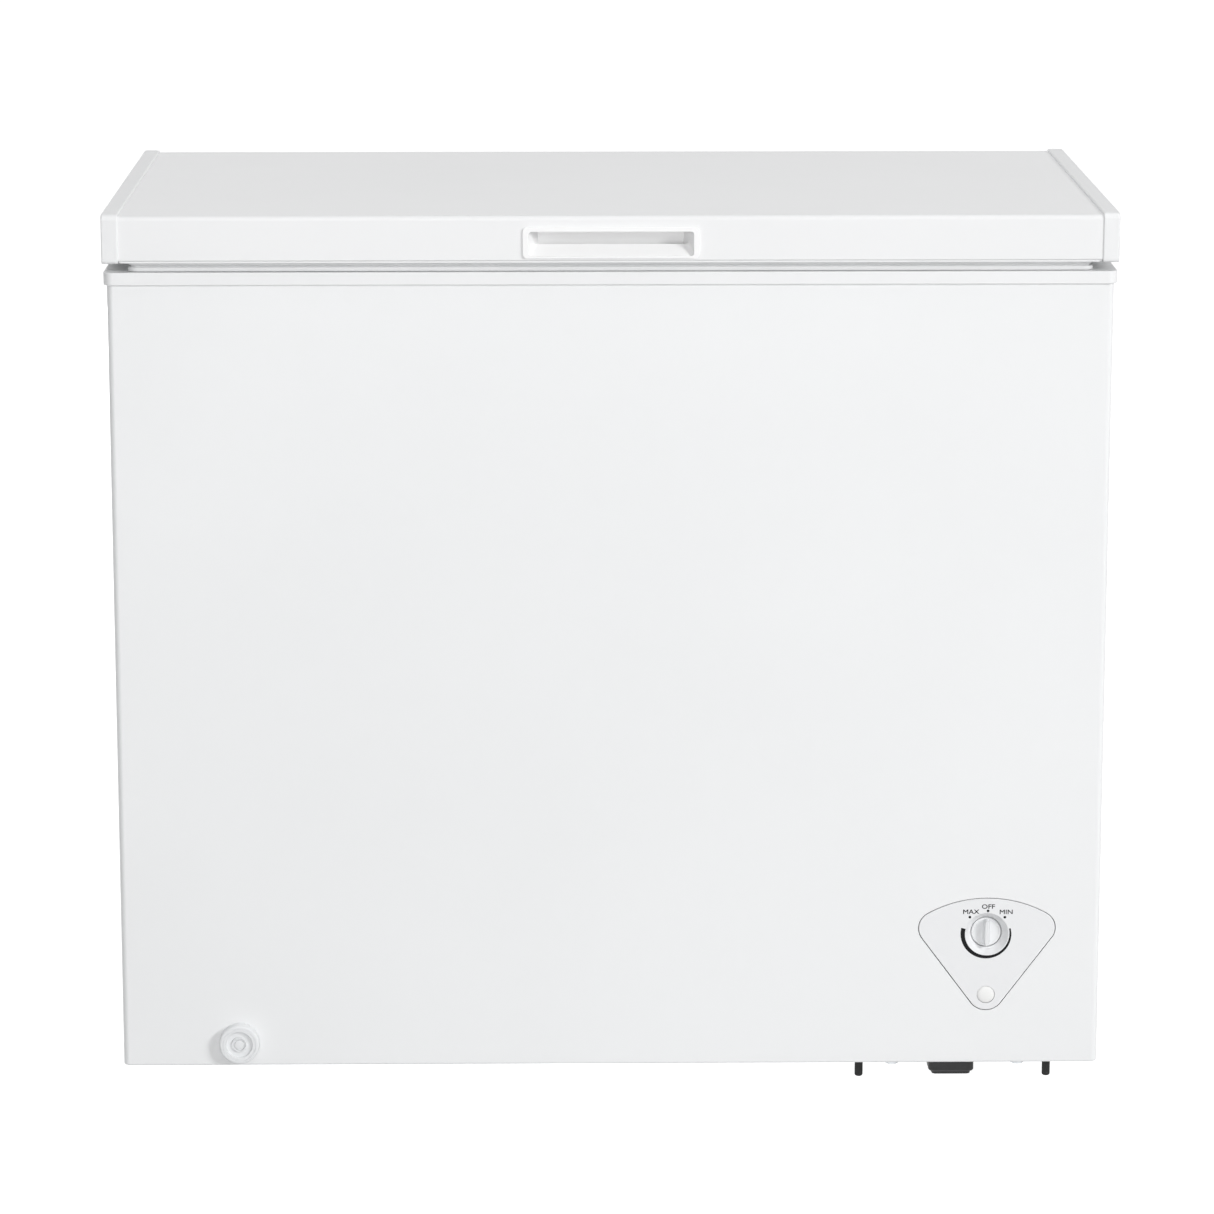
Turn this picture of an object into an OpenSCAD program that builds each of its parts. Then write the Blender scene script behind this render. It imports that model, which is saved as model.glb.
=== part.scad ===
// Chest freezer: a painted steel cabinet on short feet, an insulated well with a hanging basket,
// a compressor compartment at the lower right, and a sprung lid on two rear hinges.
// Millimetres. +X is right, +Y is the back, +Z is up. The origin is on the floor, under the centre.

/* [Cabinet] */
// Width of the painted cabinet
cab_w = 938; // [860:2:1200]
// Depth of the painted cabinet
cab_d = 494; // [460:2:640]
// Height of the painted cabinet
cab_h = 757.5; // [680:0.5:860]
// Gap between the cabinet and the floor
floor_gap = 25.5; // [22:0.5:40]
// Thickness of the cabinet's sheet steel
sheet_t = 0.8; // [0.6:0.1:1.2]
// Radius of the cabinet's vertical edges
edge_r = 6; // [4:0.5:12]
// Width of the folded edges at the back and the bottom
fold_w = 16; // [14:1:20]
// Thickness of an insulated wall, from the skin to the liner
wall = 60; // [54:1:72]
// Thickness of the inner liner
liner_t = 1; // [0.8:0.1:1.5]
// Radius of the liner's upright corners
liner_r = 30; // [20:1:40]

/* [Compressor compartment] */
// Length of the compartment
comp_l = 254; // [244:1:290]
// Height of the compartment above its base plate
comp_h = 242; // [232:1:280]
// Thickness of the base plate
base_t = 2; // [1.5:0.5:3]
// Radius of the compressor's shell
shell_r = 62; // [56:1:66]
// Height of the compressor's shell
shell_h = 158; // [140:1:170]
// Distance between the compressor's mounting studs, side to side
stud_dx = 170; // [160:2:180]
// Distance between the compressor's mounting studs, front to back
stud_dy = 104; // [96:2:116]

/* [Top frame] */
// Height of the frame's outer edge
frame_h = 12; // [10:1:16]
// How far the frame stands out past the cabinet
frame_over = 3; // [2.4:0.2:3.2]
// Thickness of the frame's plastic
frame_t = 3; // [2.5:0.5:3]
// Width of the ledge that carries the basket
ledge_w = 11; // [9:1:14]
// Depth of the ledge below the frame's top
ledge_drop = 12; // [11:1:14]
// Height of the lip that covers the liner's edge
lip_h = 16; // [10:1:24]

/* [Lid] */
// Height of the lid's front face
lid_h = 42; // [40:1:56]
// Gap between the frame and the lid's skirt, where the gasket sits
seal_h = 11; // [10:0.5:13]
// How far the lid stands out past the cabinet at each side, with its end caps
lid_side_over = 3.5; // [3.4:0.1:8]
// How far the lid's front face stands out past the cabinet
lid_front_over = 5.5; // [5:0.5:8]
// How far the lid's back stands out past the cabinet
lid_back_over = 7.5; // [7:0.5:8]
// Radius of the lid's top edges
lid_edge_r = 5; // [3:0.5:8]
// Width of a lid end cap
cap_w = 15.5; // [12:0.5:20]
// How far an end cap stands out at the lid's front and back
cap_proud = 1.5; // [1:0.5:2]
// How far an end cap rises above the lid's top
cap_rise = 2; // [1:0.5:3]
// Width of the gasket
gasket_w = 14; // [12:1:16]
// Distance from the lid's front and back to the gasket
gasket_inset = 16.5; // [15:0.5:18]
// Depth of the lid's inner plug below the frame's top
plug_depth = 13; // [8:1:14]
// Gap between the lid's inner plug and the well's walls
plug_gap = 22; // [20:1:30]
// Widest opening of the lid, in degrees
lid_open = 80; // [70:1:85]

/* [Handle] */
// Width of the hand hold's bezel
bezel_w = 164; // [150:1:190]
// Height of the hand hold's bezel
bezel_h = 29; // [27:0.5:32]
// Width of the hand hold's rim
bezel_rim = 5.2; // [4:0.2:6]
// Depth of the hand hold
handle_d = 28; // [22:1:34]

/* [Hinges] */
// Distance of each hinge from the middle of the lid
hinge_x = 290; // [240:2:340]
// Distance of the hinge pins behind the cabinet
pin_back = 14; // [14:0.5:14.5]
// Height of the hinge pins above the frame
pin_up = 2; // [1.5:0.5:2.5]
// Radius of a hinge pin
pin_r = 3; // [2.5:0.5:3]
// Width of a hinge bracket
hinge_w = 46; // [44:1:52]
// Length of a hinge bracket on the cabinet
hinge_l = 76; // [70:1:100]
// Thickness of the hinge steel
hinge_t = 2; // [1.8:0.1:2.2]

/* [Control panel] */
// Width of the control panel
panel_w = 130.6; // [124:0.2:140]
// Height of the control panel
panel_h = 110.7; // [106:0.1:120]
// Height of the panel's lower tip above the cabinet's underside
panel_up = 53; // [48:1:90]
// Distance of the panel's middle from the cabinet's right side
panel_in = 108.5; // [100:0.5:130]
// Radius of the panel's upper corners
panel_rc = 16.5; // [14:0.5:18]
// Radius of the panel's lower tip
panel_rb = 17.5; // [15:0.5:20]
// Height of the upper corners' centres above the tip
panel_cz = 81.4; // [80:0.2:83]
// Height of the knob's middle above the tip
knob_up = 75.6; // [74:0.2:80]
// Radius of the dish round the knob
dish_r = 20.4; // [19:0.2:22]
// Depth of the dish
dish_d = 12; // [11:0.5:14]
// Radius of the knob's disc
knob_r = 14.9; // [13:0.1:15]
// Height of the signal lens above the tip
lens_up = 15; // [14:0.5:18]
// Radius of the signal lens
lens_r = 8.4; // [6:0.2:9]

/* [Drain] */
// Distance of the drain from the cabinet's left side
drain_in = 112; // [90:1:180]
// Height of the drain above the cabinet's underside
drain_up = 23.5; // [23:0.5:26]
// Radius of the drain dial
dial_r = 19.1; // [18.5:0.1:21]
// How far the drain dial stands out
dial_out = 11; // [9:0.5:14]
// Radius of the sliding drain tube
drain_r = 10.9; // [9.5:0.1:11]
// How far the drain tube pulls out
drain_travel = 25; // [15:1:30]

/* [Feet] */
// Width of a foot
foot_w = 44; // [36:1:50]
// Distance of the right front foot behind the cabinet's front
foot_front = 40; // [36:1:60]
// Distance of the left front foot behind the cabinet's front
foot_hidden = 78; // [70:1:120]

/* [Vents] */
// Length of the side grille
grille_l = 190; // [150:2:220]
// Height of the side grille
grille_h = 126; // [100:2:140]
// Number of slats in the side grille
grille_n = 9; // [6:1:11]
// Number of louvres in the rear cover
louvre_n = 8; // [5:1:9]

/* [Basket] */
// Length of the basket
basket_l = 300; // [240:10:340]
// Height of the basket
basket_h = 205; // [150:5:240]
// Radius of the basket's wire
wire_r = 2.2; // [1.8:0.1:2.4]
// Number of upright wires along the basket's length
basket_nx = 8; // [5:1:10]
// Number of upright wires across the basket's ends
basket_ny = 9; // [5:1:11]

/* [Hidden] */
$fn = 48;

// Clearances: between still pieces, between moving pieces, and of a shaft in its bore.
fit = 0.1;
gap = 0.3;
run = 0.05;
cut = 1;

// Plan of the cabinet, centred on the whole object.
hinge_reach = 0.5;
ear_r = 7.5;
front_reach = max(dial_out, cap_proud + lid_front_over);
overall_d = front_reach + cab_d + pin_back + ear_r + hinge_reach;
x1 = cab_w / 2;
front_y = -overall_d / 2 + front_reach;
back_y = front_y + cab_d;
skin_back = back_y - sheet_t;
panel_back = skin_back - sheet_t;

// Heights.
pan_z = floor_gap + sheet_t;
cab_top = floor_gap + cab_h;
frame_z = cab_top + frame_h;
slab_z = frame_z - frame_t;
ledge_z = frame_z - ledge_drop;
ledge_t = 2;
lip_t = 2;
skirt_z = frame_z + seal_h;
lid_top = skirt_z + lid_h;

// The insulated well.
well_x = x1 - wall;
well_y0 = front_y + wall;
well_y1 = back_y - wall;
well_z = pan_z + sheet_t + wall;
comp_x = x1 - comp_l;
base_top = pan_z + base_t;
deck_z = base_top + comp_h;
step_x = comp_x - wall;
step_z = deck_z + sheet_t + wall;
flange_z = ledge_z - ledge_t;
liner_flange = 8;

// The lid.
lid_x = x1 + lid_side_over - cap_w;
lid_y0 = front_y - lid_front_over;
lid_y1 = back_y + lid_back_over;
tray_t = 2;
tray_z = skirt_z - tray_t;
tray_in = 2;
plug_z = frame_z - plug_depth;
plug_r = 24;
gasket_side = 23;

// The hinges.
pin_y = back_y + pin_back;
pin_z = frame_z + pin_up;
arm_w = hinge_w - 2 * hinge_t - 1;
roller_r = 2.5;
roller_dy = 6.5;
roller_dz = 4;
base_z1 = cab_top - 1;
base_z0 = base_z1 - hinge_l;
spring_y = back_y + hinge_t + 7.3;
spring_r = 5.5;
spring_wire = 1;
seat_z = cab_top - 13.2;
hinge_screw_x = 14;
arm_screw_x = 11;
screw_r = 2.4;

// The control panel, seen from the front.
panel_x = x1 - panel_in;
panel_z = floor_gap + panel_up;
panel_face = front_y - 0.4;
panel_t = 2.5;
panel_flange = 2;
knob_z = panel_z + knob_up;
lens_z = panel_z + lens_up;
dish_back = panel_face + dish_d;
dish_t = 2;
spindle_r = 3;
thermo_y = dish_back + dish_t;
thermo_w = 40;
thermo_screw_x = 24;

// The drain.
drain_x = -x1 + drain_in;
drain_z = floor_gap + drain_up;
drain_y = front_y + 92;
socket_l = 46;
pipe_r = drain_r + 3;
drop_r = 8;

// The side grille and the rear cover.
grille_y = front_y + cab_d * 0.62;
grille_z = base_top + comp_h / 2;
cover_x0 = comp_x + 1;
cover_z0 = floor_gap;
cover_z1 = deck_z + sheet_t;
cover_screw_in = 8;

// The refrigerant tubes.
evap_r = 4;
evap_n = 6;
cond_r = 2.4;
cond_n = 4;
evap_z0 = step_z + 20;
evap_z1 = flange_z - 40;
cond_z0 = deck_z + 110;
cond_z1 = base_z0 - 10;
riser_x = well_x - liner_r - 4;
suction_x = riser_x - 22;
evap_y = well_y1 + liner_t + evap_r + gap;
suction_y = evap_y + 10;
evap_top = evap_z1 + 3 * evap_r;
discharge_x = x1 - 30;
liquid_x = discharge_x - 14;
cond_y = panel_back - cond_r - gap;
discharge_y = cond_y - 10;
cond_top = cond_z1 + 3 * cond_r;
tube_end = deck_z + sheet_t + 8;
deck_holes = [[discharge_x, discharge_y], [liquid_x, cond_y], [riser_x, evap_y],
    [suction_x, suction_y]];

// The compressor and what it stands on.
comp_cx = (comp_x + x1) / 2;
box_y1 = panel_back - 20;
box_d = 36;
box_l = 50;
box_h = 34;
box_gap = 22;
bar_w = 34;
bar_over = 18;
comp_cy = box_y1 - box_d - box_gap - bar_w / 2 - stud_dy / 2;
grommet_h = 16;
bracket_t = 3;
bracket_z = base_top + 10;
shell_z = bracket_z + bracket_t;
plate_mid = comp_cx - 10;
stud_r = 4;
base_stud_r = 4;
drier_x = liquid_x;
drier_y = cond_y - 22;
drier_l = 92;
drier_z = deck_z - 130;
relay_y1 = comp_cy - shell_r - 4 - gap;
relay_z = shell_z + 62;
box_x0 = comp_x + 24;
lead_r = 2.5;
lead_z = base_top + sheet_t + lead_r + gap;
gland_x = box_x0 + 25;
gland_z = base_top + 22;

// The basket.
basket_x1 = well_x - liner_r - 4;
basket_x0 = basket_x1 - basket_l;
basket_y0 = well_y0 + lip_t + wire_r + 3;
basket_y1 = well_y1 - lip_t - wire_r - 3;
basket_z1 = plug_z - wire_r - 5;
basket_z0 = basket_z1 - basket_h;
rail_z = ledge_z + gap + wire_r;
rail_y = ledge_w - wire_r - 1.5;

// ---- Outlines and tubes ----

function arc(cx, cy, r, a0, a1, n = 6) =
    [for (i = [0 : n]) let (a = a0 + (a1 - a0) * i / n) [cx + r * cos(a), cy + r * sin(a)]];

function rounded(x0, y0, x1, y1, r, n = 6) = concat(
    arc(x1 - r, y0 + r, r, -90, 0, n), arc(x1 - r, y1 - r, r, 0, 90, n),
    arc(x0 + r, y1 - r, r, 90, 180, n), arc(x0 + r, y0 + r, r, 180, 270, n));

// Rounded triangle on its tip: two upper corners, a lower tip and a bowed top, grown by g.
function panel_outline(g = 0) = let (
    cx = panel_w / 2 - panel_rc,
    rise = panel_cz - panel_h,
    bow = (cx * cx + rise * rise - panel_rc * panel_rc) / (-2 * (rise + panel_rc)),
    dz = panel_cz - panel_rb,
    side = atan2(dz, cx) - acos((panel_rb - panel_rc) / norm([cx, dz])),
    top = atan2(panel_cz - panel_h + bow, cx))
    concat(arc(0, panel_rb, panel_rb + g, 180 - side, 360 + side, 10),
        arc(cx, panel_cz, panel_rc + g, side, top, 8),
        arc(0, panel_h - bow, bow + g, top, 180 - top, 16),
        arc(-cx, panel_cz, panel_rc + g, 180 - top, 180 - side, 8));

function unit(v) = v / norm(v);
function across(t) = unit(cross(t, abs(t[2]) < 0.9 ? [0, 0, 1] : [1, 0, 0]));

// A corner at b, between a and c, as an arc of radius r.
function bend(a, b, c, r, n = 5) = let (
    u = unit(a - b), v = unit(c - b), turn = 180 - acos(max(-1, min(1, u * v))))
    turn < 1 ? [b] : let (
        mid = b + unit(u + v) * r / cos(turn / 2),
        p = b + u * r * tan(turn / 2) - mid,
        q = b + v * r * tan(turn / 2) - mid)
    [for (i = [0 : n]) let (a = turn * i / n) mid + (p * sin(turn - a) + q * sin(a)) / sin(turn)];

function route(p, r, n = 5) = let (last = len(p) - 1) [
    p[0],
    for (i = [1 : last - 1]) each bend(p[i - 1], p[i], p[i + 1], is_list(r) ? r[i] : r, n),
    p[last]];

// Small radii for the first two and the last three points of a coil, and wide ones between.
function coil_radii(p, small, wide) =
    [for (i = [0 : len(p) - 1]) i < 2 || i > len(p) - 4 ? small : wide];

function heading(p, i) = unit(p[min(i + 1, len(p) - 1)] - p[max(i - 1, 0)]);
function normals(p, i = 0, before = [], done = []) = i == len(p) ? done : let (
    t = heading(p, i),
    n = i == 0 ? across(t) : unit(before - t * (before * t)))
    normals(p, i + 1, n, concat(done, [n]));

module tube(p, r, sides = 8) {
    side = normals(p);
    count = len(p);
    points = [for (i = [0 : count - 1]) let (t = heading(p, i), n = side[i], m = cross(t, n))
        for (k = [0 : sides - 1]) p[i] + r * (n * cos(360 * k / sides) + m * sin(360 * k / sides))];
    walls = [for (i = [0 : count - 2], k = [0 : sides - 1]) let (
        j = (k + 1) % sides, a = i * sides, b = a + sides)
        each [[a + k, b + k, b + j], [a + k, b + j, a + j]]];
    polyhedron(points, concat(walls,
        [[for (k = [0 : sides - 1]) k]],
        [[for (k = [sides - 1 : -1 : 0]) (count - 1) * sides + k]]), convexity = 8);
}

// A tube wound round a rounded box: level on three sides, climbing along the right-hand end.
function wound(x0, y0, x1, y1, z0, z1, n, start_x) = let (step = (z1 - z0) / (n - 1)) [
    [start_x, y1, z0],
    for (i = [0 : n - 1]) each let (z = z0 + step * i) concat(
        [[x0, y1, z], [x0, y0, z], [x1, y0, z]],
        i < n - 1 ? [[x1, y1, z + step]] : [])];

module box(x0, y0, z0, x1, y1, z1) {
    translate([x0, y0, z0]) cube([x1 - x0, y1 - y0, z1 - z0]);
}

module upright(outline, z0, z1) {
    translate([0, 0, z0]) linear_extrude(z1 - z0) polygon(outline);
}

// An outline in X and Z, extruded from y0 to y1.
module facing(outline, y0, y1) {
    translate([0, y1, 0]) rotate([90, 0, 0]) linear_extrude(y1 - y0) polygon(outline);
}

// An outline in Y and Z, extruded from x0 to x1.
module sideways(outline, x0, x1) {
    translate([x0, 0, 0]) rotate([90, 0, 90]) linear_extrude(x1 - x0) polygon(outline);
}

// A round bar along Y.
module rod_y(x, z, r, y0, y1) {
    translate([x, y0, z]) rotate([-90, 0, 0]) cylinder(r = r, h = y1 - y0);
}

module rod_z(x, y, r, z0, z1) {
    translate([x, y, z0]) cylinder(r = r, h = z1 - z0);
}

module at_hinges() {
    for (s = [-1, 1]) translate([s * hinge_x, 0, 0]) children();
}

// ---- Cabinet shell ----

// Plan of the folded sheet, drawn in from its outside by inset.
module cabinet_plan(inset = 0) {
    polygon(rounded(-x1 + inset, front_y + inset, x1 - inset, skin_back - inset,
        edge_r - min(inset, edge_r - 1)));
}

module panel_hole(g) {
    translate([panel_x, 0, panel_z]) facing(panel_outline(g), front_y - 2, front_y + 6);
}

function grille_outline(g = 0) = rounded(grille_y - grille_l / 2 - g, grille_z - grille_h / 2 - g,
    grille_y + grille_l / 2 + g, grille_z + grille_h / 2 + g, 6 + g);

module base_screws_at() {
    for (s = [-1, 1]) translate([plate_mid + s * 60.5, front_y + 10, 0]) children();
}

module base_studs_at() {
    for (s = [-1, 1]) translate([plate_mid + s * 91, front_y + 30, 0]) children();
}

module cabinet_wrapper() {
    color("whitesmoke") difference() {
        union() {
            translate([0, 0, floor_gap]) linear_extrude(slab_z - floor_gap) difference() {
                cabinet_plan();
                cabinet_plan(sheet_t);
                translate([-x1 + fold_w, skin_back - 2]) square([2 * (x1 - fold_w), 4]);
            }
            translate([0, 0, floor_gap]) linear_extrude(sheet_t) difference() {
                cabinet_plan(sheet_t / 2);
                translate([-x1 + fold_w, front_y + fold_w]) square([2 * (x1 - fold_w), cab_d]);
            }
        }
        panel_hole(0.6);
        rod_y(drain_x, drain_z, pipe_r + fit, front_y - cut, front_y + 3);
        sideways(grille_outline(fit), x1 - 3, x1 + cut);
        base_screws_at() rod_z(0, 0, screw_r + fit, floor_gap - cut, pan_z + cut);
    }
}

module hinge_bolts_at() {
    at_hinges() for (x = [-hinge_screw_x, hinge_screw_x], z = [base_z0 + 18, base_z1 - 14])
        translate([x, 0, z]) children();
}

module back_panel() {
    side = x1 - 0.5;
    color("gainsboro") difference() {
        union() {
            facing([[-side, floor_gap], [comp_x, floor_gap], [comp_x, cover_z1 + 0.5],
                [side, cover_z1 + 0.5], [side, cab_top], [-side, cab_top]], skin_back, back_y);
            for (i = [0 : 3]) translate([0, 0, step_z + 40 + i * 70])
                sideways([[back_y - 0.2, -6], [back_y + 2, -3], [back_y + 2, 3],
                    [back_y - 0.2, 6]], -x1 + 60, x1 - 60);
        }
        hinge_bolts_at() rod_y(0, 0, screw_r + fit, skin_back - cut, back_y + cut);
    }
}

function foot_places() = [
    [-x1 + 70, front_y + foot_hidden + foot_w / 2], [-x1 + 70, back_y - 60],
    [plate_mid, front_y + foot_front + foot_w / 2], [plate_mid + 72, back_y - 60]];

module bottom_pan() {
    color("silver") difference() {
        translate([0, 0, pan_z]) linear_extrude(sheet_t) intersection() {
            cabinet_plan(sheet_t + fit);
            translate([-x1, front_y]) square([x1 + comp_x, skin_back - front_y]);
        }
        for (p = [foot_places()[0], foot_places()[1]])
            rod_z(p[0], p[1], screw_r + fit, pan_z - cut, pan_z + sheet_t + cut);
    }
}

module step_panel() {
    y0 = front_y + sheet_t + fit;
    color("silver") difference() {
        union() {
            box(comp_x - sheet_t, y0, pan_z + sheet_t, comp_x, panel_back - fit, deck_z + sheet_t);
            upright(rounded(comp_x - sheet_t, y0, x1 - sheet_t - fit, panel_back - fit, edge_r),
                deck_z, deck_z + sheet_t);
            box(comp_x, skin_back - sheet_t, base_top + 2, comp_x + fold_w, skin_back, cover_z1);
            box(comp_x, panel_back - 2, base_top + 2, comp_x + sheet_t, skin_back, cover_z1);
            box(comp_x, skin_back - sheet_t, deck_z - fold_w, x1 - fold_w - gap, skin_back,
                cover_z1);
            box(comp_x, panel_back - 2, deck_z, x1 - fold_w - gap, skin_back, cover_z1);
            box(comp_x - sheet_t, y0, base_top, comp_x + fold_w, panel_back - 20,
                base_top + sheet_t);
        }
        for (p = deck_holes) rod_z(p[0], p[1], evap_r + 1.5, deck_z - cut, deck_z + sheet_t + cut);
        cover_screws_at() rod_y(0, 0, screw_r + fit, skin_back - 4, skin_back + cut);
    }
}

// ---- Top frame, liner and insulation ----

module frame_plan(g) {
    polygon(rounded(-x1 - frame_over + g, front_y - frame_over + g, x1 + frame_over - g,
        back_y + frame_over - g, edge_r + frame_over - g));
}

// The well's opening, grown outwards by g.
module well_plan(g) {
    polygon(rounded(-well_x - g, well_y0 - g, well_x + g, well_y1 + g, liner_r + g));
}

module frame_ring(z0, z1, inner) {
    translate([0, 0, z0]) linear_extrude(z1 - z0) difference() {
        frame_plan(0);
        children();
    }
}

module top_frame() {
    color("white") {
        frame_ring(slab_z, frame_z) well_plan(ledge_w);
        frame_ring(cab_top, slab_z) polygon(rounded(-x1 - fit, front_y - fit, x1 + fit,
            back_y + fit, edge_r));
        translate([0, 0, flange_z]) linear_extrude(frame_z - flange_z) difference() {
            well_plan(ledge_w + ledge_t);
            well_plan(ledge_w);
        }
        translate([0, 0, flange_z]) linear_extrude(ledge_t) difference() {
            well_plan(ledge_w + ledge_t);
            well_plan(-lip_t);
        }
        translate([0, 0, flange_z - lip_h]) linear_extrude(lip_h + ledge_t) difference() {
            well_plan(0);
            well_plan(-lip_t);
        }
    }
}

// The well as a solid: a long upper part and a shorter lower part beside the compressor, grown by g.
module well_solid(g, top) {
    translate([0, 0, step_z - g]) linear_extrude(top - step_z + g) well_plan(g);
    upright(rounded(-well_x - g, well_y0 - g, step_x + g, well_y1 + g, liner_r + g), well_z - g,
        (step_z + top) / 2);
}

module inner_liner() {
    color("white") difference() {
        union() {
            well_solid(liner_t, flange_z);
            translate([0, 0, flange_z - liner_t]) linear_extrude(liner_t)
                well_plan(liner_t + liner_flange);
        }
        well_solid(0, flange_z + cut);
        rod_z(drain_x, drain_y, drop_r, well_z - liner_t - cut, well_z + cut);
    }
}

module ring_groove(x0, y0, x1, y1, r, w, z, h) {
    translate([0, 0, z - h / 2]) linear_extrude(h) difference() {
        polygon(rounded(x0 - w, y0 - w, x1 + w, y1 + w, r + w));
        polygon(rounded(x0, y0, x1, y1, r));
    }
}

module insulation_foam() {
    lx = well_x + liner_t;
    ly0 = well_y0 - liner_t;
    ly1 = well_y1 + liner_t;
    slot = 2 * evap_r + 1;
    skin_slot = 2 * cond_r + 0.8;
    in_y0 = front_y + sheet_t + fit;
    in_y1 = panel_back - fit;
    in_x = x1 - sheet_t - fit;
    corner = 26;
    evap_step = (evap_z1 - evap_z0) / (evap_n - 1);
    cond_step = (cond_z1 - cond_z0) / (cond_n - 1);
    color("khaki") difference() {
        translate([0, 0, pan_z + sheet_t]) linear_extrude(slab_z - pan_z - sheet_t)
            polygon(rounded(-in_x, in_y0, in_x, in_y1, edge_r - sheet_t));
        well_solid(liner_t, slab_z + cut);
        translate([0, 0, flange_z]) linear_extrude(frame_z - flange_z) well_plan(ledge_w + ledge_t);
        translate([0, 0, flange_z - liner_t]) linear_extrude(liner_t + cut)
            well_plan(liner_t + liner_flange);
        box(comp_x - sheet_t, front_y, pan_z, x1, back_y, deck_z + sheet_t);
        for (i = [0 : evap_n - 1])
            ring_groove(-lx, ly0, lx, ly1, liner_r + liner_t, slot, evap_z0 + i * evap_step, slot);
        box(lx - liner_r - 5, ly0 - slot, evap_z0 - evap_r - 1, lx + slot, ly1 + slot,
            evap_top + evap_r + 1);
        for (i = [0 : cond_n - 1])
            ring_groove(-in_x + skin_slot, in_y0 + skin_slot, in_x - skin_slot, in_y1 - skin_slot,
                20 - skin_slot, skin_slot + 8, cond_z0 + i * cond_step, skin_slot);
        box(in_x - skin_slot, front_y, cond_z0 - cond_r - 1, x1, back_y, cond_top + cond_r + 1);
        for (y = [in_y0 - cut, in_y1 - corner])
            box(in_x - corner, y, cond_z0 - cond_r - 1, x1, y + corner + cut,
                cond_top + cond_r + 1);
        // Channels for the pipes that rise from the compartment.
        box(riser_x - evap_r - 1, ly1 - 1, deck_z, riser_x + evap_r + 1, ly1 + slot, evap_z0);
        box(suction_x - evap_r - 1, ly1 - 1, deck_z, suction_x + evap_r + 1,
            suction_y + evap_r + 1, evap_top + evap_r + 1);
        box(suction_x - 1, ly1 - 1, evap_top - evap_r - 1, lx, ly1 + slot, evap_top + evap_r + 1);
        box(discharge_x - cond_r - 1, discharge_y - cond_r - 1, deck_z, discharge_x + cond_r + 1,
            back_y, cond_top + cond_r + 1);
        box(liquid_x - cond_r - 1, in_y1 - skin_slot, deck_z, liquid_x + cond_r + 1, back_y,
            cond_z0);
        // The drain's passage and the screws' holes.
        rod_y(drain_x, drain_z, pipe_r + fit, front_y, drain_y + pipe_r + fit);
        rod_z(drain_x, drain_y, drop_r + 3 + fit, drain_z, well_z);
        hinge_bolts_at() rod_y(0, 0, screw_r + fit, back_y - 20, back_y);
        for (p = [foot_places()[0], foot_places()[1]])
            rod_z(p[0], p[1], screw_r + fit, pan_z, pan_z + 16);
    }
}

// ---- Refrigeration ----

module evaporator_tube() {
    off = liner_t + evap_r + gap;
    x2 = well_x + off;
    path = concat([[riser_x, evap_y, tube_end]],
        wound(-well_x - off, well_y0 - off, x2, evap_y, evap_z0, evap_z1, evap_n, riser_x),
        [[x2, evap_y, evap_top], [suction_x, evap_y, evap_top],
        [suction_x, suction_y, evap_top], [suction_x, suction_y, tube_end]]);
    color("peru") tube(route(path, coil_radii(path, 4.9, liner_r + off), 4), evap_r);
}

module condenser_tube() {
    off = sheet_t + cond_r + gap;
    x2 = x1 - off;
    path = concat([[drier_x, drier_y, drier_z + drier_l + gap], [drier_x, drier_y, deck_z - 22],
        [liquid_x, cond_y, deck_z - 8]],
        wound(-x2, front_y + off, x2, cond_y, cond_z0, cond_z1, cond_n, liquid_x),
        [[x2, cond_y, cond_top], [discharge_x, cond_y, cond_top],
        [discharge_x, discharge_y, cond_top], [discharge_x, discharge_y, tube_end]]);
    radii = [for (i = [0 : len(path) - 1]) i < 4 || i > len(path) - 4 ? 4.9 : 17];
    color("peru") tube(route(path, radii, 4), cond_r, 6);
}

module studs_at() {
    for (x = [-1, 1], y = [-1, 1])
        translate([comp_cx + x * stud_dx / 2, comp_cy + y * stud_dy / 2, 0]) children();
}

module compressor_base_plate() {
    color("dimgray") difference() {
        upright(rounded(comp_x + fit, front_y + sheet_t + fit, x1 - sheet_t - fit,
            panel_back - gap, edge_r), pan_z, base_top);
        base_screws_at() rod_z(0, 0, screw_r + fit, pan_z - cut, base_top + cut);
        base_studs_at() rod_z(0, 0, base_stud_r + fit, pan_z - cut, base_top + cut);
        for (p = [foot_places()[2], foot_places()[3]])
            rod_z(p[0], p[1], screw_r + fit, pan_z - cut, base_top + cut);
        studs_at() rod_z(0, 0, stud_r + fit, pan_z - cut, base_top + cut);
    }
}

module compressor_shell() {
    half = shell_h / 2;
    dome = 26;
    color("black") translate([comp_cx, comp_cy, shell_z]) rotate_extrude() polygon(concat(
        [[0, 0]], arc(shell_r - dome, dome, dome, -90, 0, 6),
        [[shell_r, half - 6], [shell_r + 4, half - 5], [shell_r + 4, half], [shell_r, half + 2]],
        arc(shell_r - dome - 2, shell_h - dome, dome, 0, 90, 6), [[0, shell_h]]));
}

module compressor_bracket() {
    color("black") for (s = [-1, 1]) difference() {
        translate([comp_cx, comp_cy + s * stud_dy / 2, bracket_z])
            box(-stud_dx / 2 - bar_over, -bar_w / 2, 0, stud_dx / 2 + bar_over, bar_w / 2,
                bracket_t);
        studs_at() rod_z(0, 0, 7.8, bracket_z - cut, shell_z + cut);
    }
}

module compressor_grommets() {
    color("darkslategray") studs_at() translate([0, 0, base_top]) rotate_extrude() polygon([
        [4.2, 0], [11, 0], [11, 9], [10.2, bracket_z - base_top], [7.6, bracket_z - base_top],
        [7.6, shell_z - base_top], [9.8, shell_z - base_top], [9.2, grommet_h], [4.2, grommet_h]]);
}

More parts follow.
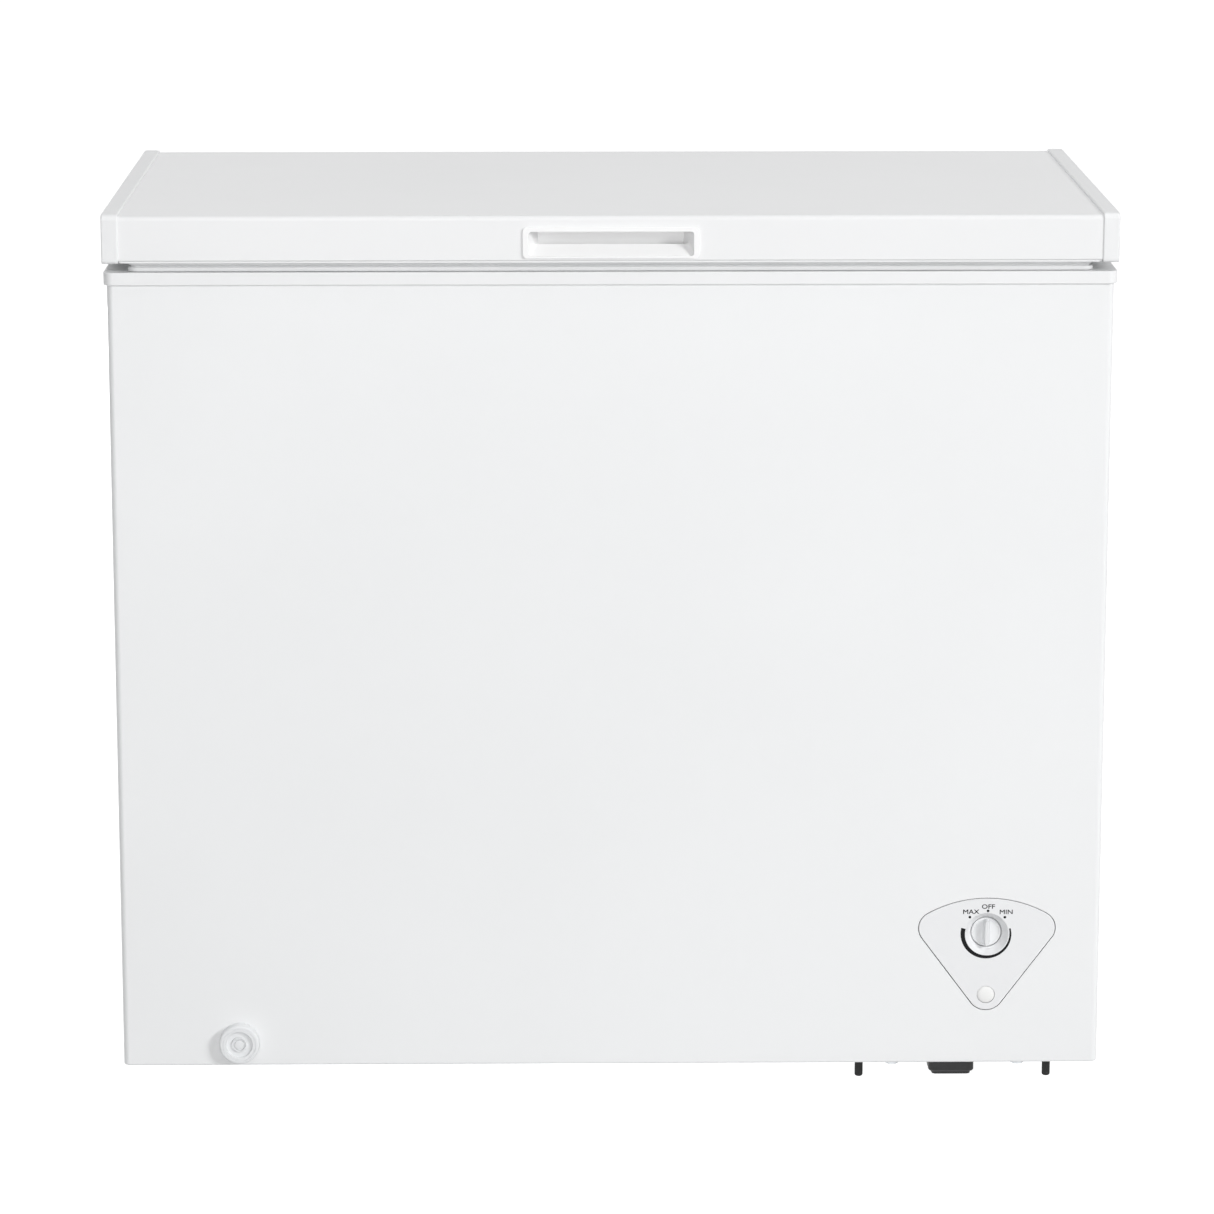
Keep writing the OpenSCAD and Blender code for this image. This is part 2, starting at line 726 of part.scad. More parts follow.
module compressor_bolts() {
    z = base_top + grommet_h;
    color("silver") studs_at() {
        rod_z(0, 0, stud_r, pan_z, z + 10);
        rod_z(0, 0, 9.5, z, z + 1.6);
        translate([0, 0, z + 1.6]) cylinder(r = 7, h = 6, $fn = 6);
        translate([0, 0, pan_z - 3.5]) cylinder(r = 7, h = 3.5, $fn = 6);
    }
}

module start_relay() {
    color("dimgray") difference() {
        upright(rounded(comp_cx - 26, relay_y1 - 34, comp_cx + 26, relay_y1, 5), relay_z,
            relay_z + 62);
        box(comp_cx - 14, relay_y1 - 34 - cut, relay_z + 48, comp_cx + 14, relay_y1 - 20,
            relay_z + 62 + cut);
        rod_z(comp_cx, relay_y1 - 12, lead_r + fit, relay_z - cut, relay_z + 12);
    }
}

module filter_drier() {
    color("peru") translate([drier_x, drier_y, drier_z]) rotate_extrude() polygon([
        [0, 0], [2, 0], [2.6, 8], [8.5, 18], [8.5, drier_l - 18], [2.9, drier_l - 8],
        [2.9, drier_l], [0, drier_l]]);
}

// How far from the compressor's middle a tube of radius r ends on its shell, dx to the side.
function on_shell(dx, r) = sqrt(pow(shell_r, 2) - pow(abs(dx) - r, 2)) + gap;

module discharge_tube() {
    z = shell_z + 40;
    color("peru") tube(route([
        [comp_cx + 30, comp_cy + on_shell(30, cond_r), z], [comp_cx + 30, discharge_y, z],
        [discharge_x, discharge_y, z], [discharge_x, discharge_y, tube_end - gap]], 9), cond_r);
}

module suction_tube() {
    z = shell_z + 60;
    color("peru") tube(route([
        [suction_x, comp_cy + on_shell(suction_x - comp_cx, evap_r), z], [suction_x, suction_y, z],
        [suction_x, suction_y, tube_end - gap]], 12), evap_r - 0.6);
}

// The thin pipe from the drier: a few stored turns, then up to the evaporator.
module capillary_tube() {
    coil_r = 12;
    c = [drier_x - 33, drier_y - 6];
    z = drier_z - 22;
    pitch = 3;
    turns = 3.25;
    steps = turns * 12;
    coil = [for (i = [0 : steps]) let (a = 90 + i * 30)
        [c[0] + coil_r * cos(a), c[1] + coil_r * sin(a), z + i * pitch / 12]];
    top = z + turns * pitch;
    color("peru") tube(concat(
        route([[drier_x, drier_y, drier_z - gap], [drier_x, drier_y, z],
        [drier_x - 9, c[1] + coil_r, z], [c[0] + 3, c[1] + coil_r, z]], 4, 3),
        coil,
        route([[c[0] - coil_r, c[1] - 3, top], [c[0] - coil_r, evap_y + 8, top],
        [riser_x, evap_y, top + 4], [riser_x, evap_y, tube_end - gap]], 4, 3)), 1.1, 6);
}

module process_tube() {
    r = 3;
    y = comp_cy - on_shell(40, r);
    color("peru") tube(route([[comp_cx - 40, y, shell_z + 40], [comp_cx - 40, y - 18, shell_z + 40],
        [comp_cx - 40, y - 18, shell_z + 90]], 9), r);
}

// ---- Wiring and controls ----

module terminal_box() {
    color("dimgray") difference() {
        upright(rounded(box_x0, box_y1 - box_d, box_x0 + box_l, box_y1, 4), base_top,
            base_top + box_h);
        for (x = [box_x0 + 10, box_x0 + 30])
            rod_y(x, base_top + box_h / 2, lead_r + fit, box_y1 - box_d - cut,
                box_y1 - box_d + 6);
    }
}

module wiring_harness() {
    z = base_top + box_h / 2;
    y = box_y1 - box_d - gap;
    thermo_side = panel_x - thermo_w / 2 - gap;
    color("dimgray") {
        tube(route([[box_x0 + 10, y, z], [box_x0 + 10, y - 8, z], [comp_x + 7, y - 16, z],
            [comp_x + 7, y - 36, lead_z], [comp_x + 7, front_y + 60, lead_z],
            [comp_x + 7, front_y + 42, knob_z - 30],
            [thermo_side - 40, thermo_y + 12, knob_z - 8], [thermo_side, thermo_y + 12, knob_z]],
            9, 4), lead_r);
        tube(route([[box_x0 + 30, y, z], [box_x0 + 30, y - 18, z], [comp_x + 14, y - 28, z],
            [comp_x + 14, y - 50, lead_z], [comp_x + 14, relay_y1 - 12, lead_z], [comp_cx, relay_y1 - 12, lead_z],
            [comp_cx, relay_y1 - 12, relay_z + 11]], 7, 4), lead_r);
        tube([[gland_x, box_y1 + gap, gland_z], [gland_x, box_y1 + 8, gland_z],
            [gland_x, skin_back - 5, gland_z]], lead_r);
    }
}

module cord_gland() {
    color("black") translate([gland_x, back_y, gland_z]) rotate([-90, 0, 0]) rotate_extrude()
        polygon([[4, -4.5], [10, -4.5], [10, -sheet_t], [8, -sheet_t], [8, 0], [10, 0], [10, 2],
            [7, 9], [4, 9]]);
}

module thermostat_body() {
    color("silver") difference() {
        union() {
            box(panel_x - thermo_w / 2, thermo_y, knob_z - 22, panel_x + thermo_w / 2,
                thermo_y + 26, knob_z + 22);
            box(panel_x - thermo_screw_x - 5, thermo_y, knob_z - 6, panel_x + thermo_screw_x + 5,
                thermo_y + 2, knob_z + 6);
        }
        rod_y(panel_x, knob_z, spindle_r + run, thermo_y - cut, thermo_y + 12);
        for (s = [-1, 1]) rod_y(panel_x + s * thermo_screw_x, knob_z, 1.8 + fit, thermo_y - cut,
            thermo_y + 2 + cut);
    }
}

module thermostat_screws() {
    color("silver") for (s = [-1, 1]) {
        rod_y(panel_x + s * thermo_screw_x, knob_z, 1.8, thermo_y - 7, thermo_y + 2);
        rod_y(panel_x + s * thermo_screw_x, knob_z, 3.4, thermo_y + 2, thermo_y + 4);
    }
}

module control_panel() {
    back = panel_face + panel_t;
    dish_low = dish_r - 4.2;
    color("whitesmoke") difference() {
        union() {
            translate([panel_x, 0, panel_z]) {
                facing(panel_outline(0), panel_face, back);
                facing(panel_outline(4), front_y + sheet_t, front_y + sheet_t + panel_flange);
            }
            translate([panel_x, panel_face, knob_z]) rotate([-90, 0, 0])
                cylinder(r1 = dish_r + 2, r2 = dish_low + 2, h = dish_d + dish_t);
            for (s = [-1, 1])
                rod_y(panel_x + s * thermo_screw_x, knob_z, 4, back - 1, thermo_y);
        }
        translate([panel_x, panel_face, knob_z]) rotate([-90, 0, 0])
            cylinder(r1 = dish_r, r2 = dish_low, h = dish_d);
        rod_y(panel_x, knob_z, dish_r, panel_face - cut, panel_face);
        rod_y(panel_x, knob_z, spindle_r + 0.3, panel_face, thermo_y + cut);
        rod_y(panel_x, lens_z, lens_r + fit, panel_face - cut, back + cut);
        for (s = [-1, 1])
            rod_y(panel_x + s * thermo_screw_x, knob_z, 1.8 + fit, thermo_y - 7.5, thermo_y + cut);
    }
}

module indicator_lens() {
    seat = front_y + sheet_t + panel_flange - panel_face;
    skirt = lens_r - 1.5;
    color("ivory") translate([panel_x, panel_face, lens_z]) rotate([-90, 0, 0]) rotate_extrude()
        polygon([[0, -1.2], [lens_r * 0.5, -0.9], [lens_r * 0.85, -0.3], [lens_r, 0.5],
            [lens_r, seat], [lens_r + 1.5, seat], [lens_r + 1.5, seat + 1.5],
            [lens_r, seat + 1.5], [lens_r, 10], [skirt, 10], [skirt, 2], [0, 2]]);
}

module indicator_lamp() {
    color("orange") translate([panel_x, panel_face, lens_z]) rotate([-90, 0, 0]) rotate_extrude()
        polygon([[0, 3.5], [2.5, 4], [3.6, 5.5], [3.6, 10], [lens_r, 10], [lens_r, 14], [4, 14],
            [4, 24], [0, 24]]);
}

module thermostat_spindle() {
    flat = 1;
    color("silver") difference() {
        rod_y(panel_x, knob_z, spindle_r, dish_back - 2.4, thermo_y + 11);
        box(panel_x - 4, dish_back - 3, knob_z + spindle_r - flat, panel_x + 4, dish_back - 0.5,
            knob_z + 4);
    }
}

module control_knob() {
    y1 = dish_back - 0.4;
    y0 = y1 - 3;
    grip = 27;
    color("whitesmoke") difference() {
        union() {
            translate([panel_x, y1, knob_z]) rotate([90, 0, 0]) rotate_extrude() polygon(concat(
                [[0, 0], [knob_r, 0]], arc(knob_r - 1, 2, 1, 0, 90, 4), [[0, 3]]));
            facing([for (p = concat(arc(0, grip / 2 - 3, 3, 0, 180, 8),
                arc(0, -grip / 2 + 3, 3, 180, 360, 8))) [panel_x + p[0], knob_z + p[1]]],
                panel_face - 0.5, y0 + 0.5);
        }
        rod_y(panel_x, knob_z, spindle_r, dish_back - 2.4, y1 + cut);
        // A pointer groove along the grip's upper half.
        box(panel_x - 0.5, panel_face - 1, knob_z + 4, panel_x + 0.5, panel_face, knob_z + grip);
    }
}

// ---- Side grille and rear cover ----

module side_grille() {
    rim = 6;
    h = grille_h - 2 * rim;
    pitch = h / grille_n;
    color("gainsboro") {
        difference() {
            union() {
                sideways(grille_outline(0), x1 - 8, x1 + 0.2);
                sideways(grille_outline(5), x1, x1 + 1.4);
            }
            sideways(grille_outline(-rim), x1 - 9, x1 + 3);
        }
        for (i = [0 : grille_n - 1]) let (z = grille_z - h / 2 + pitch * i)
            facing([[x1 - 8, z + pitch * 0.72], [x1 + 1, z + pitch * 0.2],
                [x1 + 1, z + pitch * 0.2 + 1.8], [x1 - 8, z + pitch * 0.72 + 1.8]],
                grille_y - grille_l / 2 + rim - 1, grille_y + grille_l / 2 - rim + 1);
    }
}

module cover_screws_at() {
    side = comp_x + cover_screw_in;
    top = cover_z1 - cover_screw_in;
    for (p = [[side, base_top + 40], [side, deck_z - 60], [comp_x + 90, top], [x1 - 60, top]])
        translate([p[0], 0, p[1]]) children();
}

module rear_cover() {
    x0 = comp_x + 34;
    x2 = x1 - 34;
    low = base_top + 66;
    pitch = (deck_z - 30 - low) / louvre_n;
    color("gainsboro") difference() {
        union() {
            box(cover_x0, skin_back, cover_z0, x1 - 0.5, back_y, cover_z1);
            for (i = [0 : louvre_n - 1]) translate([0, 0, low + pitch * i])
                sideways([[back_y - 0.2, 0], [back_y + 5, 0], [back_y + 5, 1],
                    [back_y - 0.2, 11]], x0, x2);
        }
        for (i = [0 : louvre_n - 1]) translate([0, 0, low + pitch * i])
            sideways([[skin_back - cut, -0.5], [back_y + 4.2, -0.5], [back_y + 4.2, 0.8],
                [back_y - 0.2, 9.8], [skin_back - cut, 9.8]], x0 + 1, x2 - 1);
        cover_screws_at() rod_y(0, 0, screw_r + fit, skin_back - cut, back_y + cut);
        rod_y(gland_x, gland_z, 8 + fit, skin_back - cut, back_y + cut);
    }
}

module rear_cover_screws() {
    color("silver") cover_screws_at() {
        rod_y(0, 0, screw_r, skin_back - 8, back_y);
        rod_y(0, 0, 4.8, back_y, back_y + 2);
    }
}

// ---- Feet and the base plate's fixings ----

module feet() {
    color("black") for (p = foot_places()) difference() {
        upright(rounded(p[0] - foot_w / 2, p[1] - foot_w / 2, p[0] + foot_w / 2,
            p[1] + foot_w / 2, 5), 0, pan_z);
        rod_z(p[0], p[1], 8, -cut, 8);
        rod_z(p[0], p[1], screw_r + fit, 0, pan_z + cut);
    }
}

module foot_screws() {
    color("silver") for (p = foot_places()) {
        rod_z(p[0], p[1], screw_r, 8, pan_z + 14);
        rod_z(p[0], p[1], 6, 5.4, 8);
    }
}

module base_plate_screws() {
    color("silver") base_screws_at() {
        rod_z(0, 0, screw_r, floor_gap, base_top + 5);
        translate([0, 0, floor_gap - 3]) cylinder(r = 6.9, h = 3, $fn = 6);
    }
}

module base_plate_studs() {
    color("black") base_studs_at() {
        rotate_extrude() polygon(concat([[0, 3]], arc(base_stud_r - 2, 5, 2, -90, 0, 5),
            [[base_stud_r, base_top + 12], [0, base_top + 12]]));
        translate([0, 0, base_top]) cylinder(r = 7.5, h = 5, $fn = 6);
    }
}

// ---- Drain ----

module drain_socket() {
    color("whitesmoke") difference() {
        union() {
            rod_y(drain_x, drain_z, pipe_r + 3, front_y - 1.2, front_y);
            rod_y(drain_x, drain_z, pipe_r, front_y - 1, front_y + socket_l);
        }
        rod_y(drain_x, drain_z, drain_r + run, front_y - 2, front_y + socket_l + cut);
    }
}

module drain_pipe() {
    color("gainsboro") difference() {
        union() {
            rod_y(drain_x, drain_z, pipe_r, front_y + socket_l, drain_y + pipe_r);
            rod_z(drain_x, drain_y, drop_r + 3, drain_z, well_z - liner_t);
        }
        rod_y(drain_x, drain_z, drain_r + 0.3, front_y + socket_l - cut, drain_y + drop_r);
        rod_z(drain_x, drain_y, drop_r, drain_z, well_z);
    }
}

module drain_tube() {
    bore = drain_r - 2.5;
    color("white") difference() {
        rod_y(drain_x, drain_z, drain_r, front_y - 1.9, front_y + socket_l + 14);
        rod_y(drain_x, drain_z, bore, front_y - 3, front_y + socket_l + 15);
        rod_z(drain_x, front_y + 12, 4, drain_z - drain_r - cut, drain_z);
    }
}

module drain_dial() {
    boss = drain_r - 2.5 - run;
    out = dial_out - 2;
    color("whitesmoke") translate([drain_x, front_y - 2, drain_z]) rotate([90, 0, 0])
        rotate_extrude() polygon(concat([[0, -14], [boss, -14], [boss, 0], [dial_r - 0.6, 0]],
            [[dial_r, 0.6]], arc(dial_r - 1.5, out - 1.5, 1.5, 0, 90, 5),
            [[12.8, out], [12.2, out - 2], [6.2, out - 2], [6, out - 0.6], [5, out - 0.6],
            [4.6, out - 2.6], [0, out - 2.6]]));
}

module inner_drain_plug() {
    color("gray") translate([drain_x, drain_y, well_z]) rotate_extrude() polygon([
        [0, -14], [drop_r - 1, -14], [drop_r - run, -11], [drop_r - run, 0.05],
        [drop_r + 5, 0.05], [drop_r + 5, 2.5], [drop_r + 3.5, 4], [4, 4], [4, 10], [3, 11], [0, 11]]);
}

// ---- Hinges ----

module rod_x(y, z, r, x0, x1) {
    translate([x0, y, z]) rotate([0, 90, 0]) cylinder(r = r, h = x1 - x0);
}

module hinge_bases() {
    half = hinge_w / 2;
    rear = pin_y + 3.5;
    ear = concat([[back_y, base_z0], [rear, base_z0], [rear, base_z1 - 4]],
        arc(pin_y, pin_z, ear_r, -5, 185, 14), [[pin_y - ear_r, base_z1], [back_y, base_z1]]);
    color("silver") at_hinges() difference() {
        union() {
            box(-half, back_y, base_z0, half, back_y + hinge_t, base_z1);
            box(-half, back_y, base_z0, half, rear - 1, base_z0 + hinge_t);
            sideways(ear, -half, -half + hinge_t);
            sideways(ear, half - hinge_t, half);
        }
        rod_x(pin_y, pin_z, pin_r + run, -half - cut, half + cut);
        for (x = [-hinge_screw_x, hinge_screw_x], z = [base_z0 + 18, base_z1 - 14])
            rod_y(x, z, screw_r + fit, back_y - cut, back_y + hinge_t + cut);
    }
}

module hinge_pins() {
    half = hinge_w / 2;
    color("silver") at_hinges() {
        rod_x(pin_y, pin_z, pin_r, -half - 1, half + 1);
        for (x = [-half - 1.4, half]) rod_x(pin_y, pin_z, pin_r + 1.5, x, x + 1.4);
    }
}

module hinge_springs() {
    z0 = base_z0 + hinge_t + spring_wire + gap;
    z1 = seat_z - spring_wire - gap;
    turns = 9;
    steps = turns * 8;
    path = [for (i = [0 : steps]) let (a = i * 45)
        [spring_r * cos(a), spring_y + spring_r * sin(a), z0 + (z1 - z0) * i / steps]];
    color("silver") at_hinges() tube(path, spring_wire, 5);
}

module hinge_followers() {
    y0 = back_y + frame_over + 1;
    y1 = pin_y - pin_r - 0.4;
    top = pin_z - roller_dz - roller_r - gap;
    color("white") at_hinges() {
        box(-9, y0, seat_z + 1, 9, y1, top);
        rod_z(0, spring_y, 6.3, seat_z, seat_z + 3);
        rod_z(0, spring_y, 3.4, seat_z - 30, seat_z);
    }
}

module hinge_covers() {
    half = hinge_w / 2;
    out = overall_d / 2;
    z0 = base_z0 - 6;
    z1 = base_z1 - 8;
    color("gainsboro") at_hinges() difference() {
        upright([[-half - 3, back_y], [half + 3, back_y], [half + 3, out - 4], [half - 1, out],
            [-half + 1, out], [-half - 3, out - 4]], z0, z1);
        upright([[-half - 1.5, back_y - cut], [half + 1.5, back_y - cut], [half + 1.5, out - 4.6],
            [half - 1.6, out - 1.5], [-half + 1.6, out - 1.5], [-half - 1.5, out - 4.6]],
            z0 + 1.5, z1 + cut);
    }
}

module arm_bolts_at() {
    for (x = [-arm_screw_x, arm_screw_x], z = [skirt_z + 13, skirt_z + 28])
        translate([x, 0, z]) children();
}

module hinge_arms() {
    half = arm_w / 2;
    top = skirt_z + lid_h - 6;
    ear = concat([[lid_y1 + hinge_t, top], [lid_y1, top], [lid_y1, skirt_z + 1]],
        arc(pin_y - roller_dy, pin_z - roller_dz, 3.2, 180, 260, 6),
        arc(pin_y, pin_z, 6.2, 280, 370, 8));
    color("silver") at_hinges() difference() {
        union() {
            box(-half, lid_y1, skirt_z + 3, half, lid_y1 + hinge_t, top);
            sideways(ear, -half, -half + hinge_t);
            sideways(ear, half - hinge_t, half);
            rod_x(pin_y - roller_dy, pin_z - roller_dz, roller_r, -half + 1, half - 1);
        }
        rod_x(pin_y, pin_z, pin_r + run, -half - cut, half + cut);
        arm_bolts_at() rod_y(0, 0, screw_r + fit, lid_y1 - cut, lid_y1 + hinge_t + cut);
    }
}

module hinge_screws() {
    color("silver") hinge_bolts_at() {
        rod_y(0, 0, screw_r, back_y - 18, back_y + hinge_t);
        rod_y(0, 0, 4.6, back_y + hinge_t, back_y + hinge_t + 2);
    }
}

module arm_screws() {
    color("silver") at_hinges() arm_bolts_at() {
        rod_y(0, 0, screw_r, lid_y1 - 16, lid_y1 + hinge_t);
        rod_y(0, 0, 4.6, lid_y1 + hinge_t, lid_y1 + hinge_t + 2);
    }
}

// ---- Lid ----

// The lid's section, seen from the right, drawn in by g.
function lid_section(g, low) = concat(
    [[lid_y0 + g, low], [lid_y1 - g, low]],
    arc(lid_y1 - lid_edge_r, lid_top - lid_edge_r, lid_edge_r - g, 0, 90, 7),
    arc(lid_y0 + lid_edge_r, lid_top - lid_edge_r, lid_edge_r - g, 90, 180, 7));

rim_low = 1.9;
rim_top = 4.2;
cup_t = 1.6;
bezel_t = 1.2;
bezel_z0 = skirt_z + 2.4;
bezel_z1 = bezel_z0 + bezel_h;
hold_x = bezel_w / 2 - bezel_rim;
hold_z0 = bezel_z0 + rim_low;
hold_z1 = bezel_z1 - rim_top;
hold_y1 = lid_y0 + handle_d;
hold_ramp = 6.5;
hold_taper = 18;

module lid_outer_panel() {
    edge = 10;
    color("white") difference() {
        sideways(lid_section(0, skirt_z), -lid_x, lid_x);
        sideways(lid_section(sheet_t, skirt_z + sheet_t), -lid_x - cut, lid_x + cut);
        box(-lid_x - cut, lid_y0 + edge, skirt_z - cut, lid_x + cut, lid_y1 - edge,
            skirt_z + sheet_t + cut);
        box(-hold_x - cup_t - fit, lid_y0 - cut, hold_z0 - cup_t - fit, hold_x + cup_t + fit,
            lid_y0 + 3, hold_z1 + cup_t + fit);
        at_hinges() arm_bolts_at() rod_y(0, 0, screw_r + fit, lid_y1 - 3, lid_y1 + cut);
    }
}

module lid_plug_plan(inset) {
    polygon(rounded(-well_x + plug_gap + inset, well_y0 + plug_gap + inset,
        well_x - plug_gap - inset, well_y1 - plug_gap - inset, max(plug_r - inset, 4)));
}

module lid_foam() {
    color("khaki") difference() {
        union() {
            sideways(lid_section(sheet_t + fit, skirt_z + sheet_t + fit), -lid_x + fit,
                lid_x - fit);
            translate([0, 0, plug_z + tray_t]) linear_extrude(skirt_z + sheet_t + 1 - plug_z
                - tray_t) lid_plug_plan(tray_t + fit);
        }
        box(-hold_x - cup_t - 1, lid_y0, hold_z0 - cup_t - 1, hold_x + cup_t + 1,
            hold_y1 + cup_t + fit, hold_z1 + hold_ramp + cup_t + fit);
        at_hinges() arm_bolts_at() rod_y(0, 0, screw_r + fit, lid_y1 - 17, lid_y1);
    }
}

module lid_inner_liner() {
    color("white") difference() {
        union() {
            box(-lid_x + fit, lid_y0 + tray_in, tray_z, lid_x - fit, lid_y1 - tray_in, skirt_z);
            translate([0, 0, plug_z]) linear_extrude(skirt_z - plug_z) lid_plug_plan(0);
        }
        translate([0, 0, plug_z + tray_t]) linear_extrude(skirt_z - plug_z) lid_plug_plan(tray_t);
    }
}

module gasket_ring(inset, w, z0, z1) {
    x = x1 + lid_side_over - gasket_side - inset;
    y0 = lid_y0 + gasket_inset + inset;
    y1 = lid_y1 - gasket_inset - inset;
    translate([0, 0, z0]) linear_extrude(z1 - z0) difference() {
        polygon(rounded(-x, y0, x, y1, 9 - inset));
        polygon(rounded(-x + w, y0 + w, x - w, y1 - w, 2));
    }
}

magnet_in = 3;
magnet_z = frame_z + gap + 1.2;
magnet_h = 2.4;

module lid_gasket() {
    color("lightgray") difference() {
        gasket_ring(0, gasket_w, frame_z + gap, tray_z);
        gasket_ring(magnet_in, gasket_w - 2 * magnet_in, magnet_z, magnet_z + magnet_h);
    }
}

module gasket_magnet() {
    color("dimgray") gasket_ring(magnet_in + fit, gasket_w - 2 * magnet_in - 2 * fit,
        magnet_z + fit, magnet_z + magnet_h - fit);
}

// The end cap's outline, seen from the side, drawn in by g.
function cap_section(g) = let (
    y0 = lid_y0 - cap_proud + g, y1 = lid_y1 + cap_proud - g,
    z0 = tray_z - 0.5 + g, z1 = lid_top + cap_rise - g)
    concat([[y0, z0 + 2], [y0 + 2, z0], [y1 - 2, z0], [y1, z0 + 2]],
        arc(y1 - 6, z1 - 6, 6, 0, 90, 7), arc(y0 + 6, z1 - 6, 6, 90, 180, 7));

module end_cap() {
    shell = 2.5;
    difference() {
        sideways(cap_section(0), lid_x, lid_x + cap_w);
        sideways(cap_section(shell), lid_x - cut, lid_x + cap_w - shell);
    }
}

module end_cap_left() {
    color("white") mirror([1, 0, 0]) end_cap();
}

module end_cap_right() {
    color("white") end_cap();
}

// The hand hold: it narrows towards its back, and its floor and ceiling rise, grown by g.
module hand_hollow(g, front) {
    hull() {
        box(-hold_x - g, front, hold_z0 - g, hold_x + g, front + 0.1, hold_z1 + g);
        box(-hold_x + hold_taper - g, hold_y1 + g - 0.1, hold_z0 + hold_ramp - g,
            hold_x - hold_taper + g, hold_y1 + g, hold_z1 + hold_ramp - 1.5 + g);
    }
}

module handle_insert() {
    color("white") difference() {
        union() {
            facing(rounded(-bezel_w / 2, bezel_z0, bezel_w / 2, bezel_z1, 4), lid_y0 - bezel_t,
                lid_y0);
            hand_hollow(cup_t, lid_y0 - 0.2);
        }
        hand_hollow(0, lid_y0 - bezel_t - cut);
    }
}

// ---- Basket ----

// A straight wire of radius r from a to b.
module wire(a, b, r = wire_r) {
    d = b - a;
    translate(a) rotate([0, acos(d[2] / norm(d)), atan2(d[1], d[0])])
        cylinder(r = r, h = norm(d), $fn = 6);
}

module wire_loop(z, y0, y1) {
    for (y = [y0, y1]) wire([basket_x0 - wire_r, y, z], [basket_x1 + wire_r, y, z]);
    for (x = [basket_x0, basket_x1]) wire([x, y0, z], [x, y1, z]);
}

module wire_basket() {
    y0 = basket_y0;
    y1 = basket_y1;
    fine_r = 0.7 * wire_r;
    color("white") {
        for (z = [basket_z0, (basket_z0 + basket_z1) / 2, basket_z1]) wire_loop(z, y0, y1);
        for (i = [1 : basket_nx - 1]) let (x = basket_x0 + basket_l * i / basket_nx) {
            for (y = [y0, y1]) wire([x, y, basket_z0], [x, y, basket_z1], fine_r);
            wire([x, y0, basket_z0], [x, y1, basket_z0], fine_r);
        }
        for (i = [1 : basket_ny - 1]) let (y = y0 + (y1 - y0) * i / basket_ny)
            for (x = [basket_x0, basket_x1]) wire([x, y, basket_z0], [x, y, basket_z1], fine_r);
        for (s = [0, 1]) let (y = [y0, y1][s], rail = [well_y0 - rail_y, well_y1 + rail_y][s]) {
            wire([basket_x0 - wire_r, rail, rail_z], [basket_x1 + wire_r, rail, rail_z]);
            for (x = [basket_x0, basket_x1]) {
                wire([x, y, basket_z0], [x, y, rail_z]);
                wire([x, y, rail_z], [x, rail, rail_z]);
            }
        }
    }
}

cabinet_wrapper();
back_panel();
bottom_pan();
step_panel();
top_frame();
inner_liner();
insulation_foam();
evaporator_tube();
condenser_tube();
compressor_base_plate();
compressor_shell();
compressor_bracket();
compressor_grommets();
compressor_bolts();
start_relay();
filter_drier();
discharge_tube();
suction_tube();
capillary_tube();
process_tube();
terminal_box();
wiring_harness();
cord_gland();
thermostat_body();
thermostat_screws();
control_panel();
indicator_lens();
indicator_lamp();
side_grille();
rear_cover();
rear_cover_screws();
feet();
foot_screws();
base_plate_screws();
base_plate_studs();
drain_socket();
drain_pipe();
drain_tube();
drain_dial();
inner_drain_plug();
hinge_bases();
hinge_pins();
hinge_springs();
hinge_followers();
hinge_covers();
hinge_arms();
hinge_screws();
arm_screws();
lid_outer_panel();
lid_foam();
lid_inner_liner();
lid_gasket();
gasket_magnet();
end_cap_left();
end_cap_right();
handle_insert();
wire_basket();
control_knob();
thermostat_spindle();
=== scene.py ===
# %% [markdown]
# # A chest freezer, from the cabinet sheet to the last screw
#
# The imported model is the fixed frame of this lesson: it holds every part at its true size and
# place. Here each part that can be seen gets the shape and finish that it has on the real thing.
# Some parts are drawn again with Blender's own tools, as folded sheet, moulded plastic or bent
# wire, and stand in for the plain part. The others keep their shape and get a finish.

# %% Load the frame and keep its size
import math
from contextlib import contextmanager

import bmesh
import bpy
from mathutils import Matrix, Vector


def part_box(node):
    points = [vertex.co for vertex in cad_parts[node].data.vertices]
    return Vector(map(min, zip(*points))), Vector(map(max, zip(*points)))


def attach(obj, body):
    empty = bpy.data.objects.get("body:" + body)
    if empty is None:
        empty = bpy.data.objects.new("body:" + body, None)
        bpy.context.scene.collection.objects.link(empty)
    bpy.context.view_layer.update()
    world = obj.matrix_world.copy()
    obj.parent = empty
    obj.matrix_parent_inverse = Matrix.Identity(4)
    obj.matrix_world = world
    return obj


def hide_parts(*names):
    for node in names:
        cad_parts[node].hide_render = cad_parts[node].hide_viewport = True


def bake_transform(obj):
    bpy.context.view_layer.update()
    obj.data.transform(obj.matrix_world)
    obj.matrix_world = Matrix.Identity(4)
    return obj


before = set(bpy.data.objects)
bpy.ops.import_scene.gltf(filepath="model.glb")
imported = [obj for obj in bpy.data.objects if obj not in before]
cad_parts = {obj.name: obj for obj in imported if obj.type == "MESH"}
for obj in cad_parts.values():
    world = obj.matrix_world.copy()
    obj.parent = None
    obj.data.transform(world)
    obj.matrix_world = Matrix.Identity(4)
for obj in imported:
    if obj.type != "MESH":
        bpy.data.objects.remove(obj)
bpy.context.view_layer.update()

MM = 0.001

# %% [markdown]
# ## The camera
#
# A long lens far from the freezer keeps its upright edges nearly parallel, as they are to the eye
# of someone across a room. The camera stands over half a metre above the lid and looks down, so
# that the lid's top shows as a band. Blender's camera looks along its own -Z, so a rotation about X
# of 90 degrees less the tilt, and one about Z for the heading, aims it.

# %% Place the camera
LENS, SENSOR = 140.6, 36
TILT, HEADING = 12.25, 0.77
TRIPOD = (-0.0626, -4.625, 1.4254)

